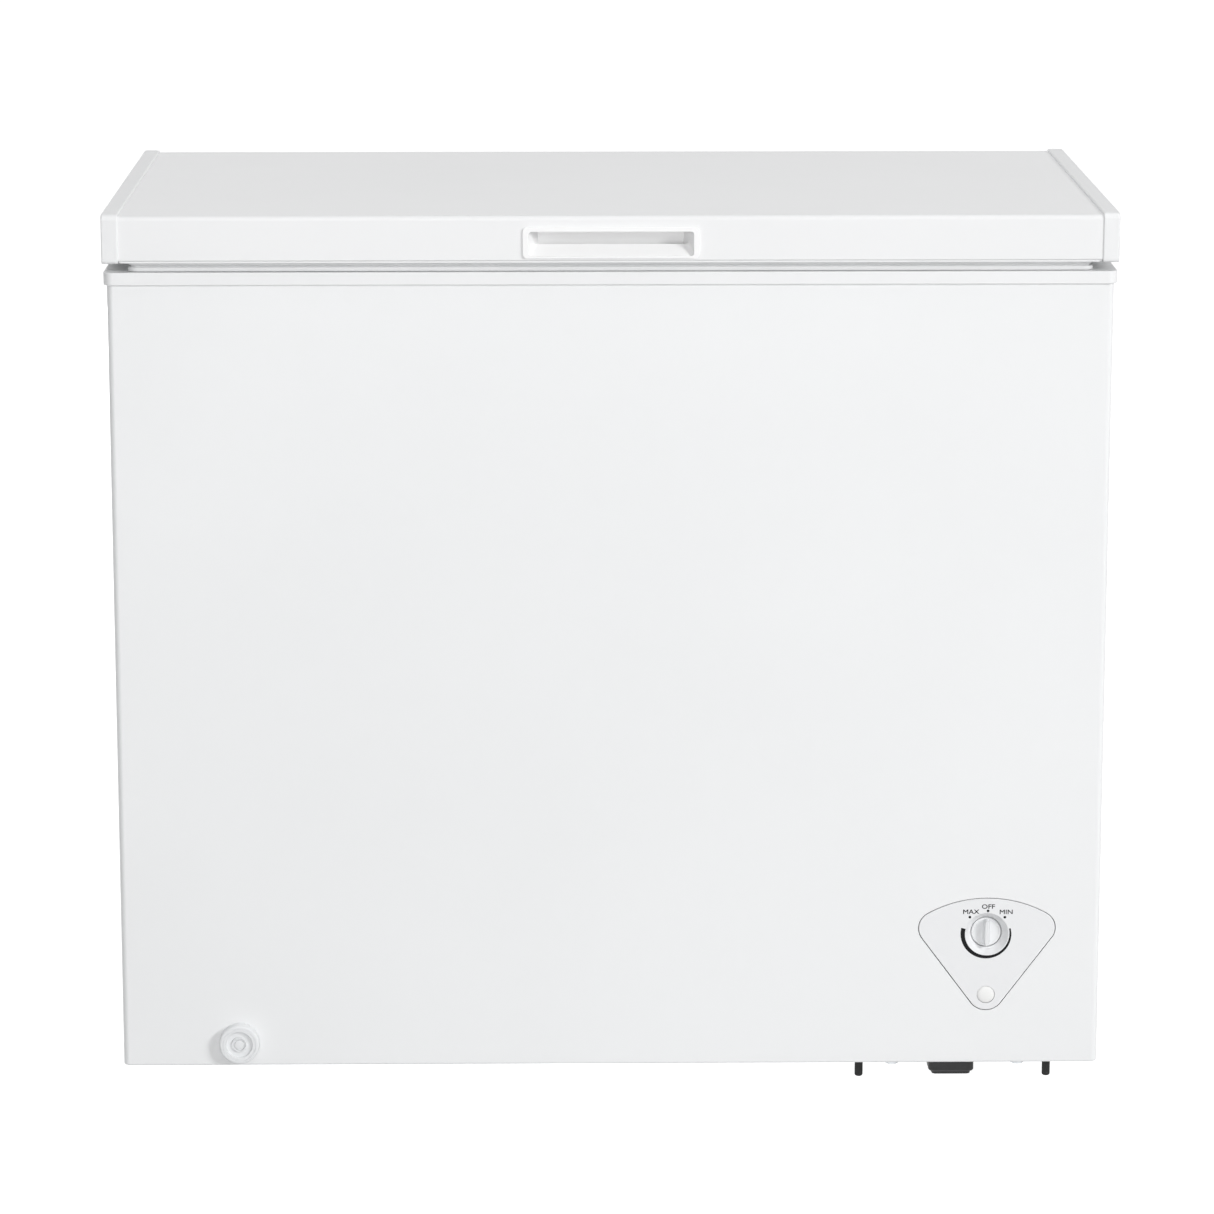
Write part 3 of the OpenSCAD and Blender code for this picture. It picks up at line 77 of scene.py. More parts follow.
bpy.ops.object.camera_add(location=TRIPOD,
                          rotation=(math.radians(90 - TILT), 0, math.radians(-HEADING)))
camera = bpy.context.object
camera.data.lens = LENS
camera.data.sensor_width = SENSOR
bpy.context.scene.camera = camera
print("camera looks down by", TILT, "degrees with a", LENS, "mm lens")

# %% [markdown]
# ## The light
#
# White paint shows its shape only by soft changes of grey. A key lamp far out on the right, at a
# low angle, gives each face its own grey and draws small shadows to the left of all that stands
# proud. Weaker lamps above, in front, on the left and at the back keep the other faces open. None
# of these shows in gloss, so no face glares. Only a small lamp over the camera does, and it draws a
# thin bright line along each rounded edge. A pale world fills the rest. It is plain white only
# where the camera, a mirror or a pane looks at it, so a white background adds no light to the
# freezer.

# %% Set the lamps and the world
def soft_lamp(name, place, aim, size, power):
    """Adds a square area lamp at a place, turned to face a point."""
    turn = (Vector(aim) - Vector(place)).to_track_quat("-Z", "Y").to_euler()
    bpy.ops.object.light_add(type="AREA", location=place, rotation=turn)
    lamp = bpy.context.object
    lamp.name = name
    lamp.data.shape = "SQUARE"
    lamp.data.size = size
    lamp.data.energy = power
    return lamp


soft_lamp("edge_lamp", (-0.4, -3.6, 2.9), (0, -0.25, 0.5), 0.7, 10)
for lamp in (soft_lamp("key_lamp", (4.97, -4.66, 3.15), (0, -0.2, 0.45), 1.8, 262),
             soft_lamp("top_lamp", (0.3, -0.6, 4.6), (0, -0.1, 0.85), 2.0, 30),
             soft_lamp("front_lamp", (-0.4, -5.2, 0.9), (0, -0.2, 0.5), 1.8, 67),
             soft_lamp("left_lamp", (-4.2, -0.6, 1.0), (0, 0, 0.45), 2.0, 6),
             soft_lamp("back_lamp", (-1.6, 4.4, 1.2), (0, 0, 0.5), 2.2, 95)):
    lamp.visible_glossy = False

bpy.context.scene.view_settings.view_transform = "Standard"
world = bpy.data.worlds.new("white_room")
bpy.context.scene.world = world
world.use_nodes = True

# %% [markdown]
# ## Writing materials as sums
#
# A material is a net of nodes, and sums written in Python are easier to read than a list of links.
# The class Net has two methods. node adds any node: its settings first, then its sockets by name or
# number. join fills one socket. The class Flow wraps what comes out of a node and turns + and *
# into Math nodes, also with the number on the left. The class Finish is the net of one material and
# its shader.

# %% Net, Flow and Finish
class Net:
    """A net of nodes under construction."""

    def __init__(self, tree):
        self.tree = tree

    def node(self, kind, settings=None, sockets=None, out=0):
        """Adds a node and returns the flow out of one of its outputs."""
        new = self.tree.nodes.new(kind)
        for setting, value in (settings or {}).items():
            setattr(new, setting, value)
        for socket, value in (sockets or {}).items():
            self.join(new.inputs[socket], value)
        return Flow(self, new.outputs[out])

    def join(self, socket, value):
        """Links a flow into a socket, or sets a plain value on it."""
        if isinstance(value, Flow):
            self.tree.links.new(value.socket, socket)
        else:
            socket.default_value = value


class Flow:
    """A value that runs through a net."""

    def __init__(self, net, socket):
        self.net, self.socket = net, socket

    def __add__(self, other):
        return self.net.node("ShaderNodeMath", {"operation": "ADD"}, {0: self, 1: other})

    def __mul__(self, other):
        return self.net.node("ShaderNodeMath", {"operation": "MULTIPLY"}, {0: self, 1: other})

    __radd__, __rmul__ = __add__, __mul__

    def between(self, low, high):
        """0 below low, 1 above high, and a smooth step from one to the other."""
        return self.net.node("ShaderNodeMapRange", {"interpolation_type": "SMOOTHSTEP"},
                             {"Value": self, "From Min": low, "From Max": high})


class Finish(Net):
    """A material under construction: its net, its shader and the place on the piece."""

    def __init__(self, name, colour, roughness, metallic=0.0, **constants):
        self.material = bpy.data.materials.new(name)
        self.material.use_nodes = True
        super().__init__(self.material.node_tree)
        self.shader = self.tree.nodes["Principled BSDF"]
        self.material.diffuse_color = (*colour, 1)
        self.feed("Base Color", (*colour, 1))
        self.feed("Roughness", roughness)
        self.feed("Metallic", metallic)
        for socket, value in constants.items():
            self.feed(socket.replace("_", " "), value)
        self.place = self.node("ShaderNodeTexCoord", out="Object")

    def feed(self, socket, value):
        """Joins a value to one of the shader's own sockets."""
        self.join(self.shader.inputs[socket], value)
        return self

    def noise(self, scale, detail):
        """Soft cloudy noise, 0 to 1, with its scale in bumps to the metre."""
        return self.node("ShaderNodeTexNoise", {},
                         {"Vector": self.place, "Scale": scale, "Detail": detail})

    def cells(self, scale, feature="F1", out="Distance", **sockets):
        """A pattern of cells round scattered points."""
        return self.node("ShaderNodeTexVoronoi", {"feature": feature},
                         {"Vector": self.place, "Scale": scale, **sockets}, out)

    def mix(self, factor, first, second):
        """A colour between two colours."""
        return self.node("ShaderNodeMix", {"data_type": "RGBA"},
                         {0: factor, 6: (*first, 1), 7: (*second, 1)}, 2)

    def bump(self, height, depth, strength=1.0):
        """Raises and sinks the surface by a height, 0 to 1, times a depth in metres."""
        return self.feed("Normal", self.node("ShaderNodeBump", {}, {
            "Height": height, "Distance": depth, "Strength": strength}))


# %% Finish the world
def looked_at(net):
    """1 where the camera, a mirror or a pane looks, and 0 where light only falls."""
    camera_ray, glossy_ray, through_ray = [
        net.node("ShaderNodeLightPath", out=f"Is {kind} Ray")
        for kind in ("Camera", "Glossy", "Transmission")]
    return camera_ray + glossy_ray + through_ray


FILL = 0.3
backdrop = Net(world.node_tree)
backdrop.tree.nodes.clear()
fill = backdrop.node("ShaderNodeBackground", {}, {"Color": (0.985, 0.992, 1, 1), "Strength": FILL})
white = backdrop.node("ShaderNodeBackground", {}, {"Color": (1, 1, 1, 1)})
choice = backdrop.node("ShaderNodeMixShader", {}, {0: looked_at(backdrop), 1: fill, 2: white})
sky = backdrop.tree.nodes.new("ShaderNodeOutputWorld")
backdrop.join(sky.inputs["Surface"], choice)
print("world has", len(backdrop.tree.nodes), "nodes")

# %% [markdown]
# ## The floor
#
# The freezer stands on a white studio sweep. A plane is enough, because it reaches past the view on
# every side. Its white is part plain paint, which takes the freezer's shadow, and part glow, which
# shows only where the camera or a mirror looks, so that the open floor is white and the shadow
# under the freezer stays.

# %% Lay the floor
FLOOR_WHITE, FLOOR_GLOW = 0.5, 0.92
bpy.ops.object.select_all(action="DESELECT")
bpy.ops.mesh.primitive_plane_add(size=60, location=(0, 0, 0))
floor = bpy.context.object
floor.name = "floor"

floor_paint = Finish("floor_white", (0.8, 0.8, 0.8), 0.9)
matte = floor_paint.node("ShaderNodeBsdfDiffuse", {},
                         {"Color": (FLOOR_WHITE, FLOOR_WHITE, FLOOR_WHITE, 1)})
glow = floor_paint.node("ShaderNodeEmission", {}, {
    "Color": (1, 1, 1, 1), "Strength": looked_at(floor_paint) * FLOOR_GLOW})
lit = floor_paint.node("ShaderNodeAddShader", {}, {0: matte, 1: glow})
floor_paint.join(floor_paint.tree.nodes["Material Output"].inputs["Surface"], lit)
floor.data.materials.append(floor_paint.material)
print("floor laid")

# %% [markdown]
# ## The paints
#
# The cabinet and the lid are steel sheet, painted before or after folding. Baked enamel is never
# quite flat: it dries with a fine orange-peel ripple, and it catches the light as a soft satin
# sheen. The ripple is a low bump from noise at about a millimetre and a half, the sheen is a
# middling roughness that wanders slightly, and the white itself drifts by a hair, as paint and dust
# do.

# %% Mix the enamels
def enamel(name, white, roughness, ripple=0.00003):
    """White baked enamel on sheet steel."""
    paint = Finish(name, white, roughness, Coat_Weight=0.25, Coat_Roughness=0.22)
    drift = paint.noise(2.2, 3)
    handled = paint.noise(34, 3)
    shade = tuple(channel * 0.975 for channel in white)
    paint.feed("Base Color", paint.mix(drift.between(0.3, 0.7), shade, white))
    paint.feed("Roughness", roughness - 0.03 + handled * 0.06)
    return paint.bump(paint.noise(620, 2) + paint.noise(150, 1) * 0.6, ripple).material


body_enamel = enamel("body_enamel", (0.85, 0.857, 0.862), 0.36)
lid_enamel = enamel("lid_enamel", (0.837, 0.84, 0.845), 0.36)
back_enamel = enamel("back_enamel", (0.74, 0.745, 0.75), 0.46, 0.00005)
print("enamels:", body_enamel.name, lid_enamel.name, back_enamel.name)

# %% [markdown]
# ## The moulded plastics
#
# Moulded plastic takes the skin of its mould. The trim of a freezer has a fine even spark-eroded
# grain, and a soft part such as a gasket is duller. One function gives them all: colour, how rough,
# how deep the grain is and how far the colour drifts. Grain is made of small cells and fine noise.

# %% Mould the plastics
def moulded(name, colour, roughness, grain=0.00002, spread=0.03):
    """Moulded plastic or rubber with the fine grain of its mould."""
    plastic = Finish(name, colour, roughness)
    drift = plastic.noise(14, 3)
    shade = tuple(channel * (1 - spread) for channel in colour)
    plastic.feed("Base Color", plastic.mix(drift, shade, colour))
    plastic.feed("Roughness", roughness - 0.04 + plastic.noise(60, 2) * 0.08)
    return plastic.bump(plastic.cells(1500) * 0.5 + plastic.noise(900, 2), grain).material


frame_plastic = moulded("frame_plastic", (0.85, 0.855, 0.86), 0.42)
cap_plastic = moulded("cap_plastic", (0.835, 0.84, 0.845), 0.38)
# The hand hold is a whiter moulding, and its white is raised further as painted light, so that its
# cup, chin and back wall read lit in their shade.
whiter_hold_plastic_and_painted_light = moulded("whiter_hold_plastic_and_painted_light", (0.93, 0.93, 0.93), 0.36)
trim_plastic = moulded("trim_plastic", (0.80, 0.805, 0.81), 0.4)
panel_plastic = moulded("panel_plastic", (0.835, 0.84, 0.85), 0.42, 0.00003)
knob_plastic = moulded("knob_plastic", (0.80, 0.81, 0.82), 0.4)
cover_plastic = moulded("cover_plastic", (0.70, 0.70, 0.70), 0.5, 0.00004)
pipe_plastic = moulded("pipe_plastic", (0.36, 0.37, 0.38), 0.5)
black_plastic = moulded("black_plastic", (0.022, 0.022, 0.023), 0.5, 0.00005, 0.3)
black_rubber = moulded("black_rubber", (0.018, 0.018, 0.018), 0.75, 0.00006, 0.3)
grey_rubber = moulded("grey_rubber", (0.23, 0.235, 0.24), 0.7, 0.00005, 0.1)
gasket_vinyl = moulded("gasket_vinyl", (0.74, 0.745, 0.75), 0.55, 0.00003, 0.06)
magnet_strip = moulded("magnet_strip", (0.07, 0.065, 0.06), 0.7, 0.00005, 0.2)
wire_jacket = moulded("wire_jacket", (0.05, 0.05, 0.055), 0.45, 0.00001, 0.2)
print("plastics:", sum(m.name.endswith(("plastic", "rubber")) for m in bpy.data.materials))

# %% [markdown]
# ## The metals
#
# Metals do the hidden work. Zinc plate is bright, bluish and a little cloudy. Hot-dipped sheet
# shows its spangle, the flat crystals that the zinc froze into, each with its own grey. Copper tube
# is warm, with darker patches where it has aged. Aluminium tube and spring wire are plainer, with a
# haze of their own. The compressor and the hot steel tube are painted black.

# %% Plate and draw the metals
def plated(name, colour, roughness, cloud=120):
    """A plated or drawn metal with a cloudy shine."""
    metal = Finish(name, colour, roughness, 1.0)
    haze = metal.noise(cloud, 4)
    dull = tuple(channel * 0.72 for channel in colour)
    metal.feed("Base Color", metal.mix(haze.between(0.35, 0.75), colour, dull))
    metal.feed("Roughness", roughness + haze * 0.18)
    return metal.bump(metal.noise(cloud * 9, 2), 0.00002).material


zinc_plate = plated("zinc_plate", (0.66, 0.68, 0.70), 0.28)
spring_wire = plated("spring_wire", (0.50, 0.50, 0.50), 0.3, 300)
copper_tube = plated("copper_tube", (0.80, 0.42, 0.26), 0.26, 60)
drawn_aluminium = plated("drawn_aluminium", (0.78, 0.79, 0.80), 0.34, 90)

spangle = Finish("galvanised_sheet", (0.62, 0.64, 0.65), 0.4, 0.9)
crystal = spangle.cells(75, out="Color")
crystal_grey = spangle.node("ShaderNodeSeparateColor", {}, {"Color": crystal}, "Red")
spangle.feed("Base Color", spangle.mix(crystal_grey, (0.50, 0.52, 0.53), (0.72, 0.74, 0.75)))
spangle.feed("Roughness", crystal_grey * 0.2 + 0.32)
spangle.bump(crystal_grey, 0.00003)
galvanised_sheet = spangle.material

black_coat = Finish("black_coat", (0.018, 0.018, 0.019), 0.32, Coat_Weight=0.3)
black_coat.feed("Roughness", black_coat.noise(26, 3) * 0.2 + 0.24)
black_coat.bump(black_coat.noise(420, 2), 0.00005)
compressor_paint = black_coat.material

steel_coat = Finish("tube_paint", (0.06, 0.06, 0.062), 0.45)
steel_coat.feed("Roughness", steel_coat.noise(80, 2) * 0.2 + 0.36)
tube_paint = steel_coat.bump(steel_coat.noise(700, 2), 0.00004).material
print("metals ready")

# %% [markdown]
# ## The inside finishes
#
# The well is lined with stucco-embossed sheet: small rounded dimples that hide dents and spread the
# light. Smooth cells give that dimpled relief. The foam behind it is cream, with torn cells whose
# hollows are painted darker as shade, and shows only where a hole looks into it. The basket's wire
# is dipped in white vinyl, the pilot lens is milky over its amber lamp, and the print on the panel
# is a flat black ink.

# %% Emboss the liner, blow the foam, mix the ink
stucco = Finish("stucco_liner", (0.80, 0.81, 0.815), 0.33, Coat_Weight=0.2, Coat_Roughness=0.2)
dimple = stucco.cells(210, "SMOOTH_F1", Smoothness=0.6)
stucco.feed("Roughness", dimple * 0.12 + 0.3)
stucco.feed("Base Color", stucco.mix(stucco.noise(5, 3), (0.78, 0.79, 0.80), (0.82, 0.83, 0.835)))
stucco_liner = stucco.bump(dimple, 0.0006, 0.7).material

blown = Finish("blown_foam", (0.76, 0.66, 0.42), 0.9)
bubble_pits_and_shade = blown.cells(900)
# Each cell is painted darker towards its middle as shade in the hollow of a torn foam cell, and the
# same cells sink it as a bump.
blown.feed("Base Color", blown.mix(bubble_pits_and_shade.between(0.1, 0.6), (0.60, 0.49, 0.28),
                                   (0.80, 0.70, 0.46)))
blown_foam = blown.bump(bubble_pits_and_shade, 0.0004).material

vinyl_wire = moulded("vinyl_wire", (0.80, 0.81, 0.82), 0.35, 0.00002)

milky = Finish("milky_lens", (0.86, 0.86, 0.85), 0.3, Coat_Weight=0.4, Coat_Roughness=0.1)
milky_lens = milky.bump(milky.noise(300, 2), 0.00002).material

amber = Finish("amber_lamp", (0.85, 0.42, 0.10), 0.2)
amber.feed("Roughness", amber.noise(200, 2) * 0.1 + 0.15)
amber_lamp = amber.material

ink = Finish("printed_ink", (0.008, 0.008, 0.009), 0.6, Specular_IOR_Level=0.15)
ink.feed("Roughness", ink.noise(700, 2) * 0.15 + 0.42)
printed_ink = ink.bump(ink.noise(1200, 2), 0.00001).material
print("materials in all:", len(bpy.data.materials))

# %% [markdown]
# ## Dressing the plain parts
#
# Every part of the frame gets the finish that its slot in the record asks for. Parts that are
# drawn again below keep their finish too, in case the plain shape is the one that shows. Swapping a
# part's material is one line: the slot on its mesh takes the new one.

# %% Give every part its finish
finish_for = {
    "body_paint": body_enamel, "lid_paint": lid_enamel, "back_paint": back_enamel,
    "galvanised": galvanised_sheet, "zinc": zinc_plate, "spring_steel": spring_wire,
    "liner_sheet": stucco_liner, "white_plastic": frame_plastic, "cap_plastic": cap_plastic,
    "cover_plastic": cover_plastic, "panel_plastic": panel_plastic, "grey_plastic": pipe_plastic,
    "black_plastic": black_plastic, "black_rubber": black_rubber, "grey_rubber": grey_rubber,
    "gasket": gasket_vinyl, "magnet": magnet_strip, "foam": blown_foam,
    "bare_aluminium": drawn_aluminium, "steel_tube": tube_paint, "copper": copper_tube,
    "black_paint": compressor_paint, "wire_jacket": wire_jacket, "lens": milky_lens,
    "lamp": amber_lamp, "basket_coat": vinyl_wire, "knob_plastic": knob_plastic,
}
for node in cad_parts.values():
    for place, slot in enumerate(node.material_slots):
        node.data.materials[place] = finish_for[slot.material.name.split(".")[0]]
print("parts dressed:", len(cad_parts))

# %% [markdown]
# ## Drawing tools
#
# Most parts of a freezer are outlines that were pressed, folded, extruded or turned, so a handful
# of helpers covers them. pen draws an outline corner by corner with the extrude tool, from a plane
# merged to one point. push pulls a face or a line along. loft extrudes an outline to the next one,
# for mouldings whose corners change radius. turn spins a profile round an axis, which runs from
# front to back unless another is given. Each leaves the piece at the origin with its place in its
# mesh.

# %% Select and edit
def only(*pieces):
    """Selects these pieces and nothing else; the first is the active one."""
    bpy.ops.object.select_all(action="DESELECT")
    for piece in pieces:
        piece.select_set(True)
    bpy.context.view_layer.objects.active = pieces[0]


@contextmanager
def editing(piece):
    """Edit mode on one piece, with all of it selected at the start."""
    only(piece)
    bpy.ops.object.mode_set(mode="EDIT")
    bpy.ops.mesh.select_mode(type="VERT")
    bpy.ops.mesh.select_all(action="SELECT")
    yield
    bpy.ops.object.mode_set(mode="OBJECT")


def pick(piece, kind, test):
    """In edit mode, selects the corners, edges or faces whose middle and direction pass a test."""
    bpy.ops.mesh.select_mode(type=kind)
    bpy.ops.mesh.select_all(action="DESELECT")
    mesh = bmesh.from_edit_mesh(piece.data)
    if kind == "VERT":
        found = [v for v in mesh.verts if test(v.co, v.normal)]
    elif kind == "EDGE":
        found = [e for e in mesh.edges if test((e.verts[0].co + e.verts[1].co) / 2,
                                               (e.verts[1].co - e.verts[0].co).normalized())]
    else:
        found = [f for f in mesh.faces if test(f.calc_center_median(), f.normal)]
    for item in found:
        item.select_set(True)
    mesh.select_flush_mode()
    bmesh.update_edit_mesh(piece.data)


def pull(move):
    """In edit mode, extrudes what is selected by a move in metres."""
    bpy.ops.mesh.extrude_region_move(TRANSFORM_OT_translate={"value": move})


def face_out(inside=False):
    """In edit mode, turns every face outwards, or inwards."""
    bpy.ops.mesh.select_all(action="SELECT")
    bpy.ops.mesh.normals_make_consistent(inside=inside)


# %% Outlines
def arc(cx, cy, r, start, end, steps=6):
    """Points of an arc in degrees, from start to end."""
    turns = [math.radians(start + (end - start) * i / steps) for i in range(steps + 1)]
    return [(cx + r * math.cos(a), cy + r * math.sin(a)) for a in turns]


def oblong(x0, y0, x1, y1):
    """A rectangle with sharp corners, drawn anticlockwise."""
    return [(x0, y0), (x1, y0), (x1, y1), (x0, y1)]


def rounded(x0, y0, x1, y1, r, steps=6):
    """A rectangle with rounded corners, drawn anticlockwise."""
    return (arc(x1 - r, y0 + r, r, -90, 0, steps) + arc(x1 - r, y1 - r, r, 0, 90, steps)
            + arc(x0 + r, y1 - r, r, 90, 180, steps) + arc(x0 + r, y0 + r, r, 180, 270, steps))


def flat(points, z):
    """Puts a plan drawn in millimetres at a height in millimetres."""
    return [Vector((x, y, z)) * MM for x, y in points]


def facing(points, y):
    """Puts a front elevation in millimetres at a depth y."""
    return [Vector((x, y, z)) * MM for x, z in points]


def sideways(points, x):
    """Puts a side elevation in millimetres at a distance x."""
    return [Vector((x, y, z)) * MM for y, z in points]


# %% Pen, push, loft and turn
SAME = 2e-6     # metres: corners nearer than this are one corner


def named(piece, name):
    """Names a piece and its mesh."""
    piece.name = piece.data.name = name
    return piece


def pen(name, points, fill=True, close=True):
    """Draws an outline with the extrude tool, and closes and fills it if asked."""
    bpy.ops.object.select_all(action="DESELECT")
    bpy.ops.mesh.primitive_plane_add(size=0.001, location=points[0])
    piece = named(bpy.context.object, name)
    bpy.ops.object.transform_apply(location=True, rotation=True, scale=True)
    with editing(piece):
        bpy.ops.mesh.merge(type="CENTER")
        for start, end in zip(points, points[1:]):
            pull(end - start)
        if fill:
            bpy.ops.mesh.select_all(action="SELECT")
            bpy.ops.mesh.edge_face_add()
        elif close:
            ends = (points[0], points[-1])
            pick(piece, "VERT", lambda at, way: min((at - e).length for e in ends) < SAME)
            bpy.ops.mesh.edge_face_add()
    return piece


def outward(piece):
    """Merges doubled corners and turns every face outwards."""
    with editing(piece):
        bpy.ops.mesh.remove_doubles(threshold=SAME)
        bpy.ops.mesh.normals_make_consistent(inside=False)
    return piece


def push(piece, x=0, y=0, z=0):
    """Pulls all that is drawn along by some millimetres, so that a face becomes a solid."""
    with editing(piece):
        pull(Vector((x, y, z)) * MM)
    return outward(piece)


def joined(*pieces):
    """Makes one piece of several."""
    only(*pieces)
    bpy.ops.object.join()
    return pieces[0]


def loft(name, outlines, ring=False):
    """Extrudes an outline and slides its corners to the next one, over and over.

    A ring closes on its first outline. Otherwise the first and last outlines are filled."""
    piece = pen(name, outlines[0], fill=False)
    with editing(piece):
        for here, there in zip(outlines, outlines[1:] + (outlines[:1] if ring else [])):
            pull((0, 0, 0))
            mesh = bmesh.from_edit_mesh(piece.data)
            for corner in [v for v in mesh.verts if v.select]:
                nearest = min(range(len(here)), key=lambda i: (corner.co - here[i]).length)
                corner.co = there[nearest]
            bmesh.update_edit_mesh(piece.data)
        for outline in () if ring else (outlines[0], outlines[-1]):
            pick(piece, "VERT", lambda at, way: min((at - p).length for p in outline) < SAME)
            bpy.ops.mesh.edge_face_add()
    return outward(piece)


def turn(name, profile, centre, steps, axis=(0, 1, 0)):
    """Spins a profile of (radius, height) in millimetres round an axis through a centre."""
    axis, centre = Vector(axis), Vector(centre) * MM
    side = Vector((0, 0, 1)) if abs(axis.z) < 0.5 else Vector((1, 0, 0))
    points = [centre + (side * r + axis * h) * MM for r, h in profile]
    piece = pen(name, points, fill=False, close=False)
    with editing(piece):
        bpy.ops.mesh.spin(steps=steps, angle=math.tau, center=centre, axis=axis)
    return outward(piece)


# %% Bevel, thicken and carve
def apply(piece, kind, **settings):
    """Adds a modifier with its settings and applies it at once."""
    only(piece)
    modifier = piece.modifiers.new(kind.lower(), kind)
    for setting, value in settings.items():
        setattr(modifier, setting, value)
    bpy.ops.object.modifier_apply(modifier=modifier.name)
    return piece


def soften(piece, width, segments=3, angle=30):
    """Rounds every edge sharper than an angle by a width in millimetres."""
    return apply(piece, "BEVEL", width=width * MM, segments=segments, limit_method="ANGLE",
                 angle_limit=math.radians(angle), use_clamp_overlap=True)


def thicken(piece, sheet):
    """Gives a sheet its thickness, in millimetres, behind its outer face."""
    return apply(piece, "SOLIDIFY", thickness=sheet * MM, offset=-1, use_even_offset=True)


def carve(piece, *cutters):
    """Cuts solids out of a piece and throws the cutters away."""
    for cutter in cutters:
        apply(piece, "BOOLEAN", operation="DIFFERENCE", object=cutter, solver="EXACT")
        bpy.data.objects.remove(cutter)
    return piece


def copies(piece, places):
    """Copies a piece to each move in millimetres, each copy with its own mesh, and joins them."""
    made = []
    for move in places:
        only(piece)
        bpy.ops.object.duplicate(linked=False)
        copy = bpy.context.object
        with editing(copy):
            bpy.ops.transform.translate(value=Vector(move) * MM)
        made.append(copy)
    bpy.data.objects.remove(piece)
    return joined(*made)


def finished(piece, body, slot, *plain, finish=None, angle=32):
    """Smooths a piece, hangs it on its body and gives it the finish of its slot, unless another
    finish is named. The piece stands for the plain parts."""
    only(piece)
    bpy.ops.object.shade_smooth_by_angle(angle=math.radians(angle))
    apply(piece, "WEIGHTED_NORMAL", keep_sharp=True, weight=50)
    piece.data.materials.clear()
    piece.data.materials.append(finish or finish_for[slot])
    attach(piece, body)
    if plain:
        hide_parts(*plain)
    size = [round(v / MM, 1) for v in piece.dimensions]
    print(piece.name, "mm:", size, "faces:", len(piece.data.polygons))
    return piece


def box_mm(node):
    """A part's lowest and highest corner, in millimetres."""
    low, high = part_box(node)
    return low / MM, high / MM


def middle_mm(node):
    """The middle of a part's box, in millimetres."""
    return [(a + b) / 2 for a, b in zip(*box_mm(node))]


# %% [markdown]
# ## The cabinet wrapper
#
# One long sheet of painted steel makes the front and both sides. It is bent round two upright
# corners of 6 mm radius, and its lower rim is folded under. A box with bevelled edges would look
# alike from far off, but it has no folds and no holes. So its plan is drawn as an open line, pulled
# up into a sheet and folded under at the bottom. It gets the thickness of the steel in a later
# cell.

# %% Fold the wrapper
wrap_low, wrap_high = box_mm("cabinet_wrapper")
FOLD, BEND, SHEET = 16, 6, 0.8
HAIR = 1e-5     # metres: how far off a height an edge may lie and still be picked
side, front, rear = wrap_high.x, wrap_low.y, wrap_high.y
plan = ([(side - FOLD, rear), (side, rear)]
        + arc(side - BEND, front + BEND, BEND, 0, -90, 8)
        + arc(-side + BEND, front + BEND, BEND, -90, -180, 8)
        + [(-side, rear), (-side + FOLD, rear)])
wrapper = pen("wrapper_sheet", flat(plan, wrap_low.z), fill=False, close=False)
with editing(wrapper):
    pull((0, 0, (wrap_high.z - wrap_low.z) * MM))
    pick(wrapper, "EDGE", lambda at, way: at.z < wrap_low.z * MM + HAIR
         and at.y < (rear - 1) * MM)
    pull((0, 0, 0))
    bpy.ops.transform.resize(value=((side - FOLD) / side, 1 - FOLD / (rear - front), 1),
                             center_override=(0, rear * MM, wrap_low.z * MM))
    face_out()
soften(wrapper, 2, 4, 60)
print("wrapper folded:", len(wrapper.data.polygons), "faces")

# %% [markdown]
# ## Holes in the wrapper
#
# A press punches the holes for the control panel, the drain and the side grille before the sheet is
# folded. Here they are cut afterwards, once the sheet has its thickness, with solids of the same
# outline, which is easier to place. The panel's outline is a rounded triangle on its tip with a
# bowed top: four arcs that touch, worked out from the panel's width and height and its corners'
# radii.

# %% Draw the panel's outline
panel_low, panel_high = box_mm("control_panel")
PANEL_FLANGE = 4
panel_w = panel_high.x - panel_low.x - 2 * PANEL_FLANGE
panel_h = panel_high.z - panel_low.z - 2 * PANEL_FLANGE
panel_x = middle_mm("control_panel")[0]
panel_z = panel_low.z + PANEL_FLANGE
PANEL_CORNER, PANEL_TIP, PANEL_SHOULDER = 16.5, 17.5, 81.4


def panel_outline(grow=0.0):
    """The rounded triangle of the control panel, grown by some millimetres."""
    cx = panel_w / 2 - PANEL_CORNER
    rise = PANEL_SHOULDER - panel_h
    bow = (cx ** 2 + rise ** 2 - PANEL_CORNER ** 2) / (-2 * (rise + PANEL_CORNER))
    dz = PANEL_SHOULDER - PANEL_TIP
    lean = math.degrees(math.atan2(dz, cx)
                        - math.acos((PANEL_TIP - PANEL_CORNER) / math.hypot(cx, dz)))
    top = math.degrees(math.atan2(PANEL_SHOULDER - panel_h + bow, cx))
    drawn = (arc(0, PANEL_TIP, PANEL_TIP + grow, 180 - lean, 360 + lean, 14)
             + arc(cx, PANEL_SHOULDER, PANEL_CORNER + grow, lean, top, 12)[1:]
             + arc(0, panel_h - bow, bow + grow, top, 180 - top, 24)[1:]
             + arc(-cx, PANEL_SHOULDER, PANEL_CORNER + grow, 180 - top, 180 - lean, 12)[1:])
    return [(panel_x + x, panel_z + z) for x, z in drawn]


print("panel, mm:", round(panel_w, 1), "by", round(panel_h, 1))

# %% Punch the holes
grille_low, grille_high = box_mm("side_grille")
dial_x, _, dial_z = middle_mm("drain_dial")
GRILLE_RIM, DRAIN_HOLE_R, PANEL_PLAY = 5, 14, 0.7
PUNCH = 3       # how far a punch stands out on either side of the sheet
thicken(wrapper, SHEET)


def punch(r, reach):
    """The profile of a round punch that reaches some millimetres past the face."""
    return [(0, -PUNCH), (r, -PUNCH), (r, reach), (0, reach)]


